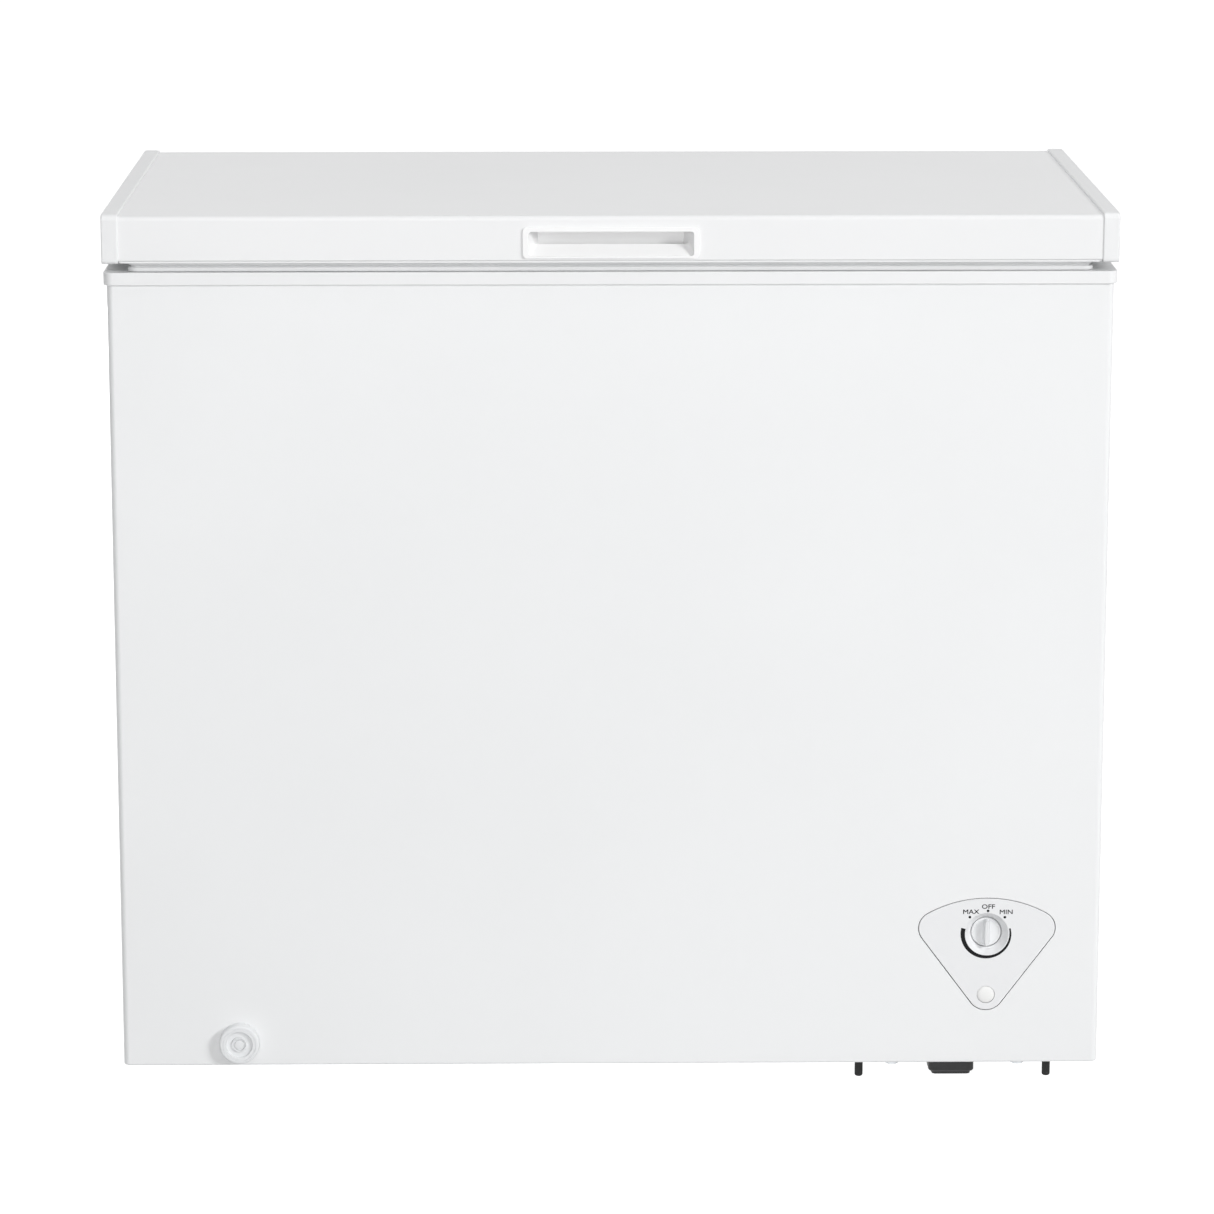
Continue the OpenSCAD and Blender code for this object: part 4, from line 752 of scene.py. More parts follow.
carve(wrapper,
      push(pen("panel_punch", facing(panel_outline(PANEL_PLAY), front - PUNCH)), y=2 * PUNCH),
      turn("drain_punch", punch(DRAIN_HOLE_R, PUNCH), (dial_x, front, dial_z), 32),
      push(pen("grille_punch", sideways(rounded(
          grille_low.y + GRILLE_RIM, grille_low.z + GRILLE_RIM,
          grille_high.y - GRILLE_RIM, grille_high.z - GRILLE_RIM, 8), side - PUNCH)), x=2 * PUNCH))
finished(wrapper, "cabinet", "body_paint", "cabinet_wrapper")

# %% [markdown]
# ## The top frame
#
# A ring of white plastic caps the foamed wall. From outside it is a band 12 mm high that stands
# 3 mm proud of the steel, and inside it steps down to the ledge that the basket hangs on. Its outer
# corners are tight and its inner ones wide, so one section swept round would not fit both. It is
# lofted instead: outline after outline, from the outer band over the top and down into the well.

# %% Loft the top frame
ring_low, ring_high = box_mm("top_frame")
liner_low, liner_high = box_mm("inner_liner")
LINER_FLANGE, LINER_SHEET, WELL_CORNER = 8, 1, 30
well_x = liner_high.x - LINER_FLANGE - LINER_SHEET
well_front = liner_low.y + LINER_FLANGE + LINER_SHEET
well_back = liner_high.y - LINER_FLANGE - LINER_SHEET


def well_plan(grow, z):
    """The well's plan, grown by some millimetres, at a height."""
    return flat(rounded(-well_x - grow, well_front - grow, well_x + grow, well_back + grow,
                        WELL_CORNER + grow, 7), z)


def frame_plan(grow, z):
    """The frame's outer plan, grown by some millimetres, at a height."""
    return flat(rounded(-ring_high.x - grow, ring_low.y - grow, ring_high.x + grow,
                        ring_high.y + grow, 9 + grow, 7), z)


top = ring_high.z
frame_ring = loft("frame_ring", [
    frame_plan(0, top - 12), frame_plan(0, top), well_plan(11, top), well_plan(11, top - 12),
    well_plan(-2, top - 12), well_plan(-2, ring_low.z), well_plan(0, ring_low.z),
    well_plan(0, top - 14), well_plan(13, top - 14), well_plan(13, top - 3),
    frame_plan(-2.9, top - 3), frame_plan(-2.9, top - 12)], ring=True)
soften(frame_ring, 0.9, 3, 40)
finished(frame_ring, "cabinet", "white_plastic", "top_frame")

# %% [markdown]
# ## The lid's skin
#
# The lid's skin is a steel pan: flat on top, rolled down at the front and back with a radius of
# 5 mm, and hemmed under at its lower edge. Its two ends are open, because the end caps close them.
# Its section is drawn once as a line and pulled along the lid. The hand hold's cup comes in through
# a slot in its front, cut once the sheet has its thickness.

# %% Roll the lid's skin
lid_low, lid_high = box_mm("lid_outer_panel")
HEM, ROLL = 10, 5
section = ([(lid_low.y + HEM, lid_low.z), (lid_low.y, lid_low.z)]
           + arc(lid_low.y + ROLL, lid_high.z - ROLL, ROLL, 180, 90, 8)
           + arc(lid_high.y - ROLL, lid_high.z - ROLL, ROLL, 90, 0, 8)
           + [(lid_high.y, lid_low.z), (lid_high.y - HEM, lid_low.z)])
lid_skin = pen("lid_skin", sideways(section, lid_low.x), fill=False, close=False)
with editing(lid_skin):
    pull(((lid_high.x - lid_low.x) * MM, 0, 0))
    face_out()
soften(lid_skin, 1.2, 3, 60)
thicken(lid_skin, SHEET)
print("lid's skin rolled:", len(lid_skin.data.polygons), "faces")

# %% Cut the slot of the hand hold
hold_low, hold_high = box_mm("handle_insert")
BEZEL, RIM_OUT, RIM_SIDE, RIM_FOOT, RIM_HEAD = 29, 2.0, 5.2, 1.9, 4.2
bezel_x, bezel_z0 = hold_high.x, hold_low.z
bezel_z1 = bezel_z0 + BEZEL
mouth = (-bezel_x + RIM_SIDE, bezel_z0 + RIM_FOOT, bezel_x - RIM_SIDE, bezel_z1 - RIM_HEAD)
carve(lid_skin, push(pen("hold_punch", facing(rounded(
    mouth[0] - 2, mouth[1] - 1.7, mouth[2] + 2, mouth[3] + 2, 4), lid_low.y - PUNCH)), y=2 * PUNCH))
finished(lid_skin, "lid", "lid_paint", "lid_outer_panel")

# %% [markdown]
# ## The end caps
#
# Each end of the lid is closed by a moulded cap that stands a millimetre or two proud of the steel,
# which hides the cut edge of the sheet. The cap's profile is the lid's own, a little larger, with a
# softer edge all round. One cap is drawn and softened, and the other is its mirror.

# %% Mould the end caps
cap_low, cap_high = box_mm("end_cap_right")
CAP_ROUND, CAP_FOOT = 6, 2
cap_outline = ([(cap_low.y, cap_low.z + CAP_FOOT), (cap_low.y + CAP_FOOT, cap_low.z),
                (cap_high.y - CAP_FOOT, cap_low.z), (cap_high.y, cap_low.z + CAP_FOOT)]
               + arc(cap_high.y - CAP_ROUND, cap_high.z - CAP_ROUND, CAP_ROUND, 0, 90, 8)
               + arc(cap_low.y + CAP_ROUND, cap_high.z - CAP_ROUND, CAP_ROUND, 90, 180, 8))
cap_right = push(pen("cap_right", sideways(cap_outline, cap_low.x)), x=cap_high.x - cap_low.x)
soften(cap_right, 1.9, 4, 40)
only(cap_right)
bpy.ops.object.duplicate(linked=False)
cap_left = named(bpy.context.object, "cap_left")
with editing(cap_left):
    bpy.ops.transform.resize(value=(-1, 1, 1), center_override=(0, 0, 0))
outward(cap_left)
finished(cap_right, "lid", "cap_plastic", "end_cap_right")
finished(cap_left, "lid", "cap_plastic", "end_cap_left")

# %% [markdown]
# ## The hand hold
#
# A moulded cup is pressed into the lid's front. Its rim lies on the steel. Behind it a steep chin
# guides the fingers up, and the cup narrows towards its back and climbs there, so that they pull
# against its ceiling. The cup is lofted from its back over the chin to its mouth, round the rim,
# and back along its outside, so it is one closed moulding with a real wall.

# %% Loft the hand hold
DEEP, TAPER, CLIMB, CEILING_CLIMB, CUP_WALL = 23, 9, 5, 3.5, 1.6
CHIN, CHIN_RISE = 11, 9.8
face_y = lid_low.y


def cup(grow, y, inward=0.0, chin=None):
    """The cup's outline, grown by a wall. Inward runs from 0, its mouth, to 1, its back."""
    x0, z0, x1, z1 = mouth
    x0, x1 = x0 + TAPER * inward, x1 - TAPER * inward
    z0 = z0 + (CLIMB * inward if chin is None else chin)
    z1 = z1 + CEILING_CLIMB * inward
    return facing(rounded(x0 - grow, z0 - grow, x1 + grow, z1 + grow, 3 + grow, 5), y)


def rim(y):
    """The outline of the rim."""
    return facing(rounded(-bezel_x, bezel_z0, bezel_x, bezel_z1, 4, 5), y)


hand_hold = loft("hand_hold", [
    cup(0, face_y + DEEP, 1), cup(0, face_y + CHIN, 0.45, CHIN_RISE),
    cup(0, face_y + 0.8), cup(0, face_y - RIM_OUT), rim(face_y - RIM_OUT), rim(face_y),
    cup(1.5, face_y + 0.05), cup(CUP_WALL, face_y + 1.2),
    cup(CUP_WALL, face_y + DEEP + CUP_WALL, 1)])
soften(hand_hold, 0.7, 3, 35)
# The cup's plastic is whiter than the caps', partly as painted light that lifts its shaded inside.
finished(hand_hold, "lid", "cap_plastic", "handle_insert", finish=whiter_hold_plastic_and_painted_light)

# %% [markdown]
# ## The gasket
#
# The lid closes on a hollow vinyl seal. Its lower chamber holds the magnet strip and lies on the
# frame, and a thin pleat above it lets it stretch. Seen edge on it is a grey band with a waist. A
# lip reaches forward almost to the lid's edge, so that the front shows a pale band and no dark gap.
# The ring is lofted from rounded rectangles, each a step in or out of the last, so the pleat is
# real.

# %% Loft the gasket
seal_low, seal_high = box_mm("lid_gasket")
SEAL_W, SEAL_R, SEAL_LIP = 14, 9, 9.5


def seal(inset, z, lip=0):
    """One outline of the gasket, inset from its outer edge, with a lip at the front."""
    r = max(SEAL_R - inset, 2)
    return flat(rounded(seal_low.x + inset, seal_low.y + inset - lip, seal_high.x - inset,
                        seal_high.y - inset, r, 5), z)


low, high = seal_low.z, seal_high.z
outer = [(0.8, low), (0, low + 0.8), (0, low + 3.4), (0.6, low + 4), (2.6, low + 4.6),
         (2.6, low + 5.2), (0.6, low + 6), (0.3, high - 0.4), (0.3, high)]
inner = [(SEAL_W - inset, z) for inset, z in reversed(outer)]
gasket = loft("gasket", [seal(inset, z, SEAL_LIP) for inset, z in outer]
              + [seal(inset, z) for inset, z in inner], ring=True)
finished(gasket, "lid", "gasket", "lid_gasket", angle=50)

# %% [markdown]
# ## The lid's inner tray
#
# Under the lid is a vacuum-formed tray of white plastic. A plug stands down from it into the well,
# with sloping walls so that it came off its mould, rounded edges, and a shallow pressed panel in
# its middle that keeps it flat. It is lofted from its rim inwards and down, in the order in which
# the sheet was drawn over the mould.

# %% Form the lid's tray
tray_low, tray_high = box_mm("lid_inner_liner")
PLUG_GAP, PLUG_R, DRAFT, TRAY_RIM, PANEL_IN = 22, 24, 0.8, 2, 42


def tray(x, y0, y1, r, z):
    """One outline of the tray."""
    return flat(rounded(-x, y0, x, y1, r, 7), z)


def plug(inset, z):
    """An outline of the plug, inset from its foot in the tray."""
    gap = PLUG_GAP + inset
    return tray(well_x - gap, well_front + gap, well_back - gap, max(PLUG_R - inset * 0.6, 6), z)


lid_tray = loft("lid_tray", [
    tray(tray_high.x, tray_low.y, tray_high.y, 3, tray_high.z),
    tray(tray_high.x, tray_low.y, tray_high.y, 3, tray_high.z - TRAY_RIM),
    plug(-3, tray_high.z - TRAY_RIM), plug(-1, tray_high.z - 2.8), plug(0, tray_high.z - 5),
    plug(DRAFT, tray_low.z + 2.6), plug(DRAFT + 0.6, tray_low.z + 0.8),
    plug(DRAFT + 2.4, tray_low.z), plug(PANEL_IN, tray_low.z),
    plug(PANEL_IN + 1.5, tray_low.z + 1.4)])
finished(lid_tray, "lid", "white_plastic", "lid_inner_liner", angle=40)

# %% [markdown]
# ## The well
#
# The well is one liner with a step at the right, where the compressor sits beneath. Its upright
# corners have a wide radius, and its floor meets its walls in a smaller one, so that it can be
# wiped out. The well is drawn from the front and pulled to the back, its top is opened, and the
# edges are bevelled in two goes: the wide corners first, then the floor and the step.

# %% Draw the well
WALL, FLOOR_R, DRAIN_R = 60, 10, 8
step_low, step_high = box_mm("step_panel")
step_x, step_z = step_low.x + SHEET - WALL, step_high.z + WALL
floor_z, rim_z = liner_low.z + LINER_SHEET, liner_high.z
well = push(pen("well", facing([(-well_x, floor_z), (step_x, floor_z), (step_x, step_z),
                                (well_x, step_z), (well_x, rim_z), (-well_x, rim_z)],
                               well_front)), y=well_back - well_front)
with editing(well):
    pick(well, "FACE", lambda at, way: way.z > 0.9 and at.z > (rim_z - 1) * MM)
    bpy.ops.mesh.delete(type="FACE")
    pick(well, "EDGE", lambda at, way: abs(way.z) > 0.9)
    bpy.ops.mesh.bevel(offset=WELL_CORNER * MM, segments=8, affect="EDGES")
    pick(well, "EDGE", lambda at, way: abs(way.z) < 0.1 and at.z < (rim_z - 1) * MM
         and (abs(at.z - floor_z * MM) < HAIR or abs(at.z - step_z * MM) < HAIR))
    bpy.ops.mesh.bevel(offset=FLOOR_R * MM, segments=4, affect="EDGES")
    face_out(inside=True)
apply(well, "SOLIDIFY", thickness=LINER_SHEET * MM, offset=-1)
carve(well, turn("drain_hole", punch(DRAIN_R, PUNCH),
                 (dial_x, middle_mm("inner_drain_plug")[1], floor_z), 24, axis=(0, 0, 1)))
finished(well, "cabinet", "liner_sheet", "inner_liner", angle=40)

# %% [markdown]
# ## The control panel
#
# Low on the right of the front sits a plate of moulded plastic, flush with the steel, with a deep
# dish in it that keeps the dial from being knocked. The plate is drawn from its four arcs and
# softened at its edge, so that a fine dark line shows all round it. The dish is turned like a bowl
# on a lathe, with a rolled lip, and let into a hole in the plate. Its wall ends in a well only a
# hair wider than the dial, which draws a thin dark ring round it.

# %% Mould the panel and its dish
knob_x, _, knob_z = middle_mm("control_knob")
lens_x, _, lens_z = middle_mm("indicator_lens")
PLATE, DISH_R, DISH_FLOOR_R, DISH_DEEP = 2.5, 20.4, 15.1, 12
DISH_BORE_R, LENS_BORE_R, SPINDLE_BORE_R = 20.9, 8.6, 3.4
panel_y = panel_low.y
plate = push(pen("panel_plate", facing(panel_outline(), panel_y)), y=PLATE)
soften(plate, 0.5, 3, 50)
carve(plate,
      turn("dish_bore", punch(DISH_BORE_R, 2 * PUNCH), (knob_x, panel_y, knob_z), 64),
      turn("lens_bore", punch(LENS_BORE_R, 2 * PUNCH), (lens_x, panel_y, lens_z), 40))
dish = turn("dish", [
    (22.4, 1.2), (21.4, 0.02), (DISH_BORE_R, 0), (20.6, 0.15), (DISH_R, 0.6), (19.4, 2.4),
    (DISH_FLOOR_R + 0.4, 7.4), (DISH_FLOOR_R, 7.8), (DISH_FLOOR_R, DISH_DEEP),
    (SPINDLE_BORE_R, DISH_DEEP), (SPINDLE_BORE_R, DISH_DEEP + 2),
    (DISH_FLOOR_R + 2, DISH_DEEP + 2), (22.4, PLATE)],
    (knob_x, panel_y, knob_z), 64)
finished(joined(plate, dish), "cabinet", "panel_plastic", "control_panel")

# %% [markdown]
# ## The print on the panel
#
# The panel is printed in one black ink: a wedge-shaped arc round the dish that swells towards the
# coldest setting, three small dots, and the words OFF, MIN and MAX. Ink has almost no thickness, so
# each mark is drawn as a thin shape that stands a few hundredths of a millimetre off the plastic.
# Words come from the text tool and are turned into a mesh before they are put in place.

# %% Print the scale
INK = 0.05
ink_y = panel_y - INK
ARC_IN, ARC_WIDE, ARC_THIN, ARC_DRIFT = 21.0, 4.4, 1.6, 0.8
ARC_END, ARC_STEPS, DOT_R = 14, 60, 1.3


def ring_point(r, angle):
    """A point round the dial's middle, with the angle anticlockwise from the right."""
    return knob_x + r * math.cos(math.radians(angle)), knob_z + r * math.sin(math.radians(angle))


sweep = [(i / ARC_STEPS, 180 - ARC_END + (180 + 2 * ARC_END) * i / ARC_STEPS)
         for i in range(ARC_STEPS + 1)]
outer_edge = [ring_point(ARC_IN + ARC_WIDE + (ARC_THIN - ARC_WIDE + ARC_DRIFT) * t, angle)
              for t, angle in sweep]
inner_edge = [ring_point(ARC_IN + ARC_DRIFT * t, angle) for t, angle in reversed(sweep)]
marks = [push(pen("scale_arc", facing(outer_edge + inner_edge, ink_y)), y=INK)]
for x, z in ((0.8, 22.9), (-16.6, 16.8), (17.0, 16.6)):
    marks.append(turn("dot", [(0, 0), (DOT_R, 0), (DOT_R, INK), (0, INK)],
                      (knob_x + x, ink_y, knob_z + z), 20))

# %% Set the words
CAPITAL, CAPITAL_SHARE, LETTER_WIDE = 4.3, 0.7, 1.2


def word(text, x, z):
    """A word in capitals, centred at a place on the panel."""
    bpy.ops.object.select_all(action="DESELECT")
    bpy.ops.object.text_add(location=(x * MM, ink_y * MM, z * MM), rotation=(math.pi / 2, 0, 0))
    letters = bpy.context.object
    letters.data.body = text
    letters.data.size = CAPITAL / CAPITAL_SHARE * MM
    letters.data.align_x, letters.data.align_y = "CENTER", "CENTER"
    letters.data.bevel_depth, letters.data.bevel_resolution = 0.00008, 0
    letters.scale.x = LETTER_WIDE
    letters.data.extrude = 0.00002
    letters.data.resolution_u = 4
    bpy.ops.object.convert(target="MESH")
    bpy.ops.object.transform_apply(location=True, rotation=True, scale=True)
    return letters


marks += [word("OFF", knob_x + 1.0, knob_z + 27), word("MAX", knob_x - 15.6, knob_z + 21.9),
          word("MIN", knob_x + 18.2, knob_z + 21.6)]
scale = named(joined(*marks), "printed_scale")
finished(scale, "cabinet", "black_plastic", finish=printed_ink)

# %% [markdown]
# ## The dial
#
# The dial is a low turned disc with a blade across it to grip, and a fine groove along the upper
# half of the blade that points at the setting. The disc is turned from its profile. The blade is
# drawn from the front as a long rounded bar, pulled out, drawn in a little towards its top like
# every moulding, and softened.

# %% Turn the disc and raise the blade
knob_low, knob_high = box_mm("control_knob")
DISC_R, DISC_T, BLADE, BLADE_W = 14.4, 4, 27, 8
disc_y = knob_high.y
disc = turn("dial_disc", [
    (0, 0), (DISC_R - 0.3, 0), (DISC_R, -0.3), (DISC_R, -DISC_T + 1.1),
    (DISC_R - 0.35, -DISC_T + 0.4), (DISC_R - 1.1, -DISC_T), (DISC_R - 2.2, -DISC_T),
    (DISC_R - 2.6, -DISC_T + 0.35), (0, -DISC_T + 0.35)], (knob_x, disc_y, knob_z), 64)
half = BLADE / 2 - BLADE_W / 2
blade_outline = (arc(knob_x, knob_z + half, BLADE_W / 2, 0, 180, 10)
                 + arc(knob_x, knob_z - half, BLADE_W / 2, 180, 360, 10))
blade = push(pen("dial_blade", facing(blade_outline, disc_y - 1)), y=knob_low.y - disc_y + 1)
with editing(blade):
    pick(blade, "VERT", lambda at, way: at.y < (knob_low.y + 0.1) * MM)
    bpy.ops.transform.resize(value=(0.45, 1, 0.92),
                             center_override=(knob_x * MM, knob_low.y * MM, knob_z * MM))
soften(blade, 0.7, 4, 40)
carve(blade, push(pen("pointer_groove", facing(oblong(
    knob_x - 0.3, knob_z + 4, knob_x + 0.3, knob_z + BLADE), knob_low.y - 1)), y=1.35))
finished(joined(disc, blade), "control_knob", "knob_plastic", "control_knob")

# %% [markdown]
# ## The pilot lens and the drain's stopper
#
# Two turned parts finish the front. The lens is a low milky dome in the panel's tip. The stopper of
# the defrost drain is a round cap to grip, with a boss in its middle, deep grooves between raised
# rings, and a fine groove near its rim. Both are profiles spun about an axis from front to back.

# %% Turn the lens and the stopper
LENS_R, LENS_DEEP = 8.4, 4.8
lens = turn("pilot_dome", [
    (0, -1.2), (2.2, -1.15), (4.4, -0.95), (6.2, -0.6), (7.4, -0.15), (8.1, 0.35), (LENS_R, 1),
    (LENS_R, LENS_DEEP), (0, LENS_DEEP)], (lens_x, panel_y, lens_z), 48)
finished(lens, "cabinet", "lens", "indicator_lens", angle=40)

dial_low, dial_high = box_mm("drain_dial")
DIAL_R = (dial_high.x - dial_low.x) / 2
stopper = turn("drain_stopper", [
    (0, 0.9), (3.6, 1), (4.2, 1.3), (4.4, 3), (5.6, 3), (5.8, 1.6), (6.2, 1.2), (7, 1.2),
    (7.4, 1.6), (7.6, 2.8), (11.8, 2.8), (12.4, 2.4), (12.6, 0.6), (13, 0.1), (13.6, 0),
    (15.2, 0), (15.4, 0.5), (15.8, 0.5), (16, 0), (DIAL_R - 1.8, 0),
    (DIAL_R - 0.9, 0.25), (DIAL_R - 0.25, 0.9), (DIAL_R, 1.8), (DIAL_R, 10.4),
    (DIAL_R - 0.6, 11), (8.2, 11), (8.2, 23), (0, 23)], (dial_x, dial_low.y, dial_z), 64)
finished(stopper, "drain_dial", "knob_plastic", "drain_dial", angle=40)

# %% [markdown]
# ## What the freezer stands on
#
# Four black block feet carry the weight. Under the right-hand end hang two hexagon screws and two
# black stud ends that hold the compressor's plate. Each is modelled once and copied: a foot is
# lofted up from its smaller wear pad, a screw is a softened hexagon, and a stud end is turned with
# a dome.

# %% Feet, screws and studs
foot_low, foot_high = box_mm("feet")
FOOT = 44
FRONT_LEFT_BACK, FRONT_RIGHT_IN = 38, 72     # how far these two feet stand in from their corner
foot_x0, foot_x1 = foot_low.x + FOOT / 2, foot_high.x - FOOT / 2
foot_y0, foot_y1 = foot_low.y + FOOT / 2, foot_high.y - FOOT / 2
foot_places = [(foot_x0, foot_y0 + FRONT_LEFT_BACK), (foot_x0, foot_y1),
               (foot_x1 - FRONT_RIGHT_IN, foot_y0), (foot_x1, foot_y1)]
foot = loft("feet_blocks", [
    flat(rounded(-FOOT / 2 + g, -FOOT / 2 + g, FOOT / 2 - g, FOOT / 2 - g, 5 - g * 0.4, 5), z)
    for g, z in ((5, 0), (3.6, 0), (3.2, 0.6), (3.2, 2), (1, 3.4), (0, 4.6), (0, foot_high.z))])
finished(copies(foot, [(x, y, 0) for x, y in foot_places]), "cabinet", "black_plastic", "feet")


def pair(piece, node, apart):
    """Two copies of a piece, side by side about the middle of a part."""
    x, y, _ = middle_mm(node)
    return copies(piece, [(x - apart / 2, y, 0), (x + apart / 2, y, 0)])


HEX_R, HEX_TALL, HEX_APART = 6.9, 3, 121
hexagon = arc(0, 0, HEX_R, 0, 300, 5)
hex_head = push(pen("plate_screws", flat(hexagon, box_mm("base_plate_screws")[0].z)), z=HEX_TALL)
soften(hex_head, 0.5, 2, 40)
finished(pair(hex_head, "base_plate_screws", HEX_APART), "cabinet", "zinc", "base_plate_screws")

STUD_R, STUD_DOME, STUD_TALL, STUD_APART = 4, 2, 24, 182
dome = arc(STUD_R - STUD_DOME, STUD_DOME, STUD_DOME, -90, 0)
stud = turn("plate_studs", [(0, 0)] + dome + [(STUD_R, STUD_TALL), (0, STUD_TALL)],
            (0, 0, box_mm("base_plate_studs")[0].z), 32, axis=(0, 0, 1))
finished(pair(stud, "base_plate_studs", STUD_APART), "cabinet", "black_rubber", "base_plate_studs")

# %% [markdown]
# ## The back
#
# The back is one plain steel sheet, stiffened by four long pressed ribs, and cut out at its lower
# corner for the compressor's cover. A rib pressed into sheet has sloping sides and rounded ends, so
# each is lofted from a wide rounded bar on the sheet to a narrower one above it, and one rib is
# copied up the panel.

# %% Press the back panel
back_low, back_high = box_mm("back_panel")
cover_low, cover_high = box_mm("rear_cover")
BACK = back_low.y + SHEET
back_sheet = push(pen("back_sheet", facing(
    [(back_low.x, back_low.z), (cover_low.x - 1, back_low.z),
     (cover_low.x - 1, cover_high.z + 0.5), (back_high.x, cover_high.z + 0.5),
     (back_high.x, back_high.z), (back_low.x, back_high.z)], BACK - SHEET)), y=SHEET)
soften(back_sheet, 0.25, 2, 60)
RIB, RIB_HALF, RIB_OUT, RIB_PITCH, RIBS = 409, 6, 2, 70, 4
first_rib = step_z + 40
rib = loft("rib", [facing(rounded(-RIB + g, first_rib - RIB_HALF + g,
                                  RIB - g, first_rib + RIB_HALF - g, 5.9 - g, 6), y)
                   for g, y in ((0, BACK - 0.3), (0, BACK), (1.1, BACK + 0.3),
                                (3.3, BACK + RIB_OUT - 0.3), (4.4, BACK + RIB_OUT))])
ribs = copies(rib, [(0, 0, RIB_PITCH * i) for i in range(RIBS)])
finished(joined(back_sheet, ribs), "cabinet", "back_paint", "back_panel")

# %% [markdown]
# ## The compressor's cover
#
# A second sheet closes the compressor's corner. Warm air leaves through louvres: slits whose upper
# lip is pushed out into a hood, so that water runs off. A hood is a quarter-round bar that is
# hollowed from below. One is drawn, its ends are rounded, it is hollowed and copied up the cover,
# and the sheet behind each gets its slit.

# %% Punch the cover and raise its hoods
LOUVRES, HOOD, HOOD_OUT, HOOD_WALL, SLIT, GLAND_BORE_R = 8, 11, 5, 0.9, 9.8, 8.1
slot_x0, slot_x1 = cover_low.x + 33, cover_high.x - 33.5
first_slot = box_mm("compressor_base_plate")[1].z + 66
slot_pitch = (step_high.z - 30.8 - first_slot) / LOUVRES
gland_x, _, gland_z = middle_mm("cord_gland")


def hood_section(inset, drop):
    """A quarter-round section, inset by a wall, with its mouth dropped below the hood's edge."""
    deep, tall = HOOD_OUT - inset, HOOD - inset
    quarter = [(BACK + deep * math.sin(math.radians(a)), first_slot + tall * math.cos(
        math.radians(a))) for a in range(0, 91, 15)]
    return [(BACK - 0.1 - drop, first_slot - drop), (BACK - 0.1 - drop, first_slot + tall)] \
        + quarter + [(BACK + deep, first_slot - drop)]


hood = push(pen("hood", sideways(hood_section(0, 0), slot_x0)), x=slot_x1 - slot_x0)
soften(hood, 1.2, 3, 60)
carve(hood, push(pen("hood_hollow", sideways(hood_section(HOOD_WALL, 1), slot_x0 + HOOD_WALL)),
                 x=slot_x1 - slot_x0 - 2 * HOOD_WALL))
hoods = copies(hood, [(0, 0, slot_pitch * i) for i in range(LOUVRES)])
cover_sheet = push(pen("cover_sheet", facing(oblong(
    cover_low.x, cover_low.z, cover_high.x, cover_high.z), BACK - SHEET)), y=SHEET)
soften(cover_sheet, 0.25, 2, 60)
slit = push(pen("slit", facing(oblong(
    slot_x0 + 1, first_slot, slot_x1 - 1, first_slot + SLIT), BACK - PUNCH)), y=2 * PUNCH)
slits = copies(slit, [(0, 0, slot_pitch * i) for i in range(LOUVRES)])
carve(cover_sheet, slits,
      turn("gland_bore", punch(GLAND_BORE_R, PUNCH), (gland_x, BACK, gland_z), 32))
finished(joined(cover_sheet, hoods), "cabinet", "back_paint", "rear_cover")

# %% [markdown]
# ## The side grille
#
# A moulded grille on the right side lets cool air in. Its rim covers the edge of the hole, and nine
# sloping blades keep fingers and rain out. The rim is a lofted ring. A blade is drawn end on,
# pulled along the opening, softened and copied, and two thin uprights tie the blades together.

# %% Mould the grille
BLADES, GRILLE_BAR = 9, 11
opening = (grille_low.y + GRILLE_BAR, grille_low.z + GRILLE_BAR, grille_high.y - GRILLE_BAR,
           grille_high.z - GRILLE_BAR)
back_x, lip_x = grille_low.x, grille_high.x


def grille_ring(inset, x):
    """One outline of the grille's rim, inset from its outer edge."""
    return sideways(rounded(grille_low.y + inset, grille_low.z + inset, grille_high.y - inset,
                            grille_high.z - inset, max(11 - inset, 2.5), 5), x)


grille = loft("grille", [grille_ring(0, side), grille_ring(0, side + 0.6),
                         grille_ring(0.8, lip_x), grille_ring(GRILLE_BAR - 0.8, lip_x),
                         grille_ring(GRILLE_BAR, lip_x - 0.8), grille_ring(GRILLE_BAR, back_x),
                         grille_ring(GRILLE_RIM + 0.2, back_x),
                         grille_ring(GRILLE_RIM + 0.2, side)], ring=True)
soften(grille, 0.3, 2, 40)
blade_pitch = (opening[3] - opening[1]) / BLADES
high_z, low_z, thick = blade_pitch * 0.72, blade_pitch * 0.2, 1.8
slope = [(back_x, high_z), (lip_x - 0.4, low_z), (lip_x - 0.4, low_z + thick),
         (back_x, high_z + thick)]
slat = push(pen("slat", facing([(x, opening[1] + z) for x, z in slope], opening[0] - 0.5)),
            y=opening[2] - opening[0] + 1)
soften(slat, 0.5, 2, 40)
slats = copies(slat, [(0, 0, blade_pitch * i) for i in range(BLADES)])
tie = push(pen("tie", flat([(back_x + 1, -1), (lip_x - 2, -0.7), (lip_x - 2, 0.7),
                            (back_x + 1, 1)], opening[1] - 0.5)), z=opening[3] - opening[1] + 1)
ties = copies(tie, [(0, opening[0] + (opening[2] - opening[0]) * t, 0) for t in (1 / 3, 2 / 3)])
finished(joined(grille, slats, ties), "cabinet", "white_plastic", "side_grille",
         finish=trim_plastic)

# %% [markdown]
# ## Hinge boots and springs
#
# Behind each hinge a grey plastic boot hides the spring that holds the lid open. The boot is a tub:
# drawn in plan, pulled up, softened and hollowed. The spring inside is a wire wound round a
# cylinder. A curve through the points of a helix, with a round bevel, is the natural way to wind
# one.

# %% Mould the boots
boot_low, boot_high = box_mm("hinge_covers")
HINGE_HALF = 21.75      # half a hinge's width, between that of its base and that of its arm
HINGE_X = (box_mm("hinge_bases")[1].x + box_mm("hinge_arms")[1].x) / 2 - HINGE_HALF
BOOT_WALL = 1.5
boot_half = boot_high.x - HINGE_X


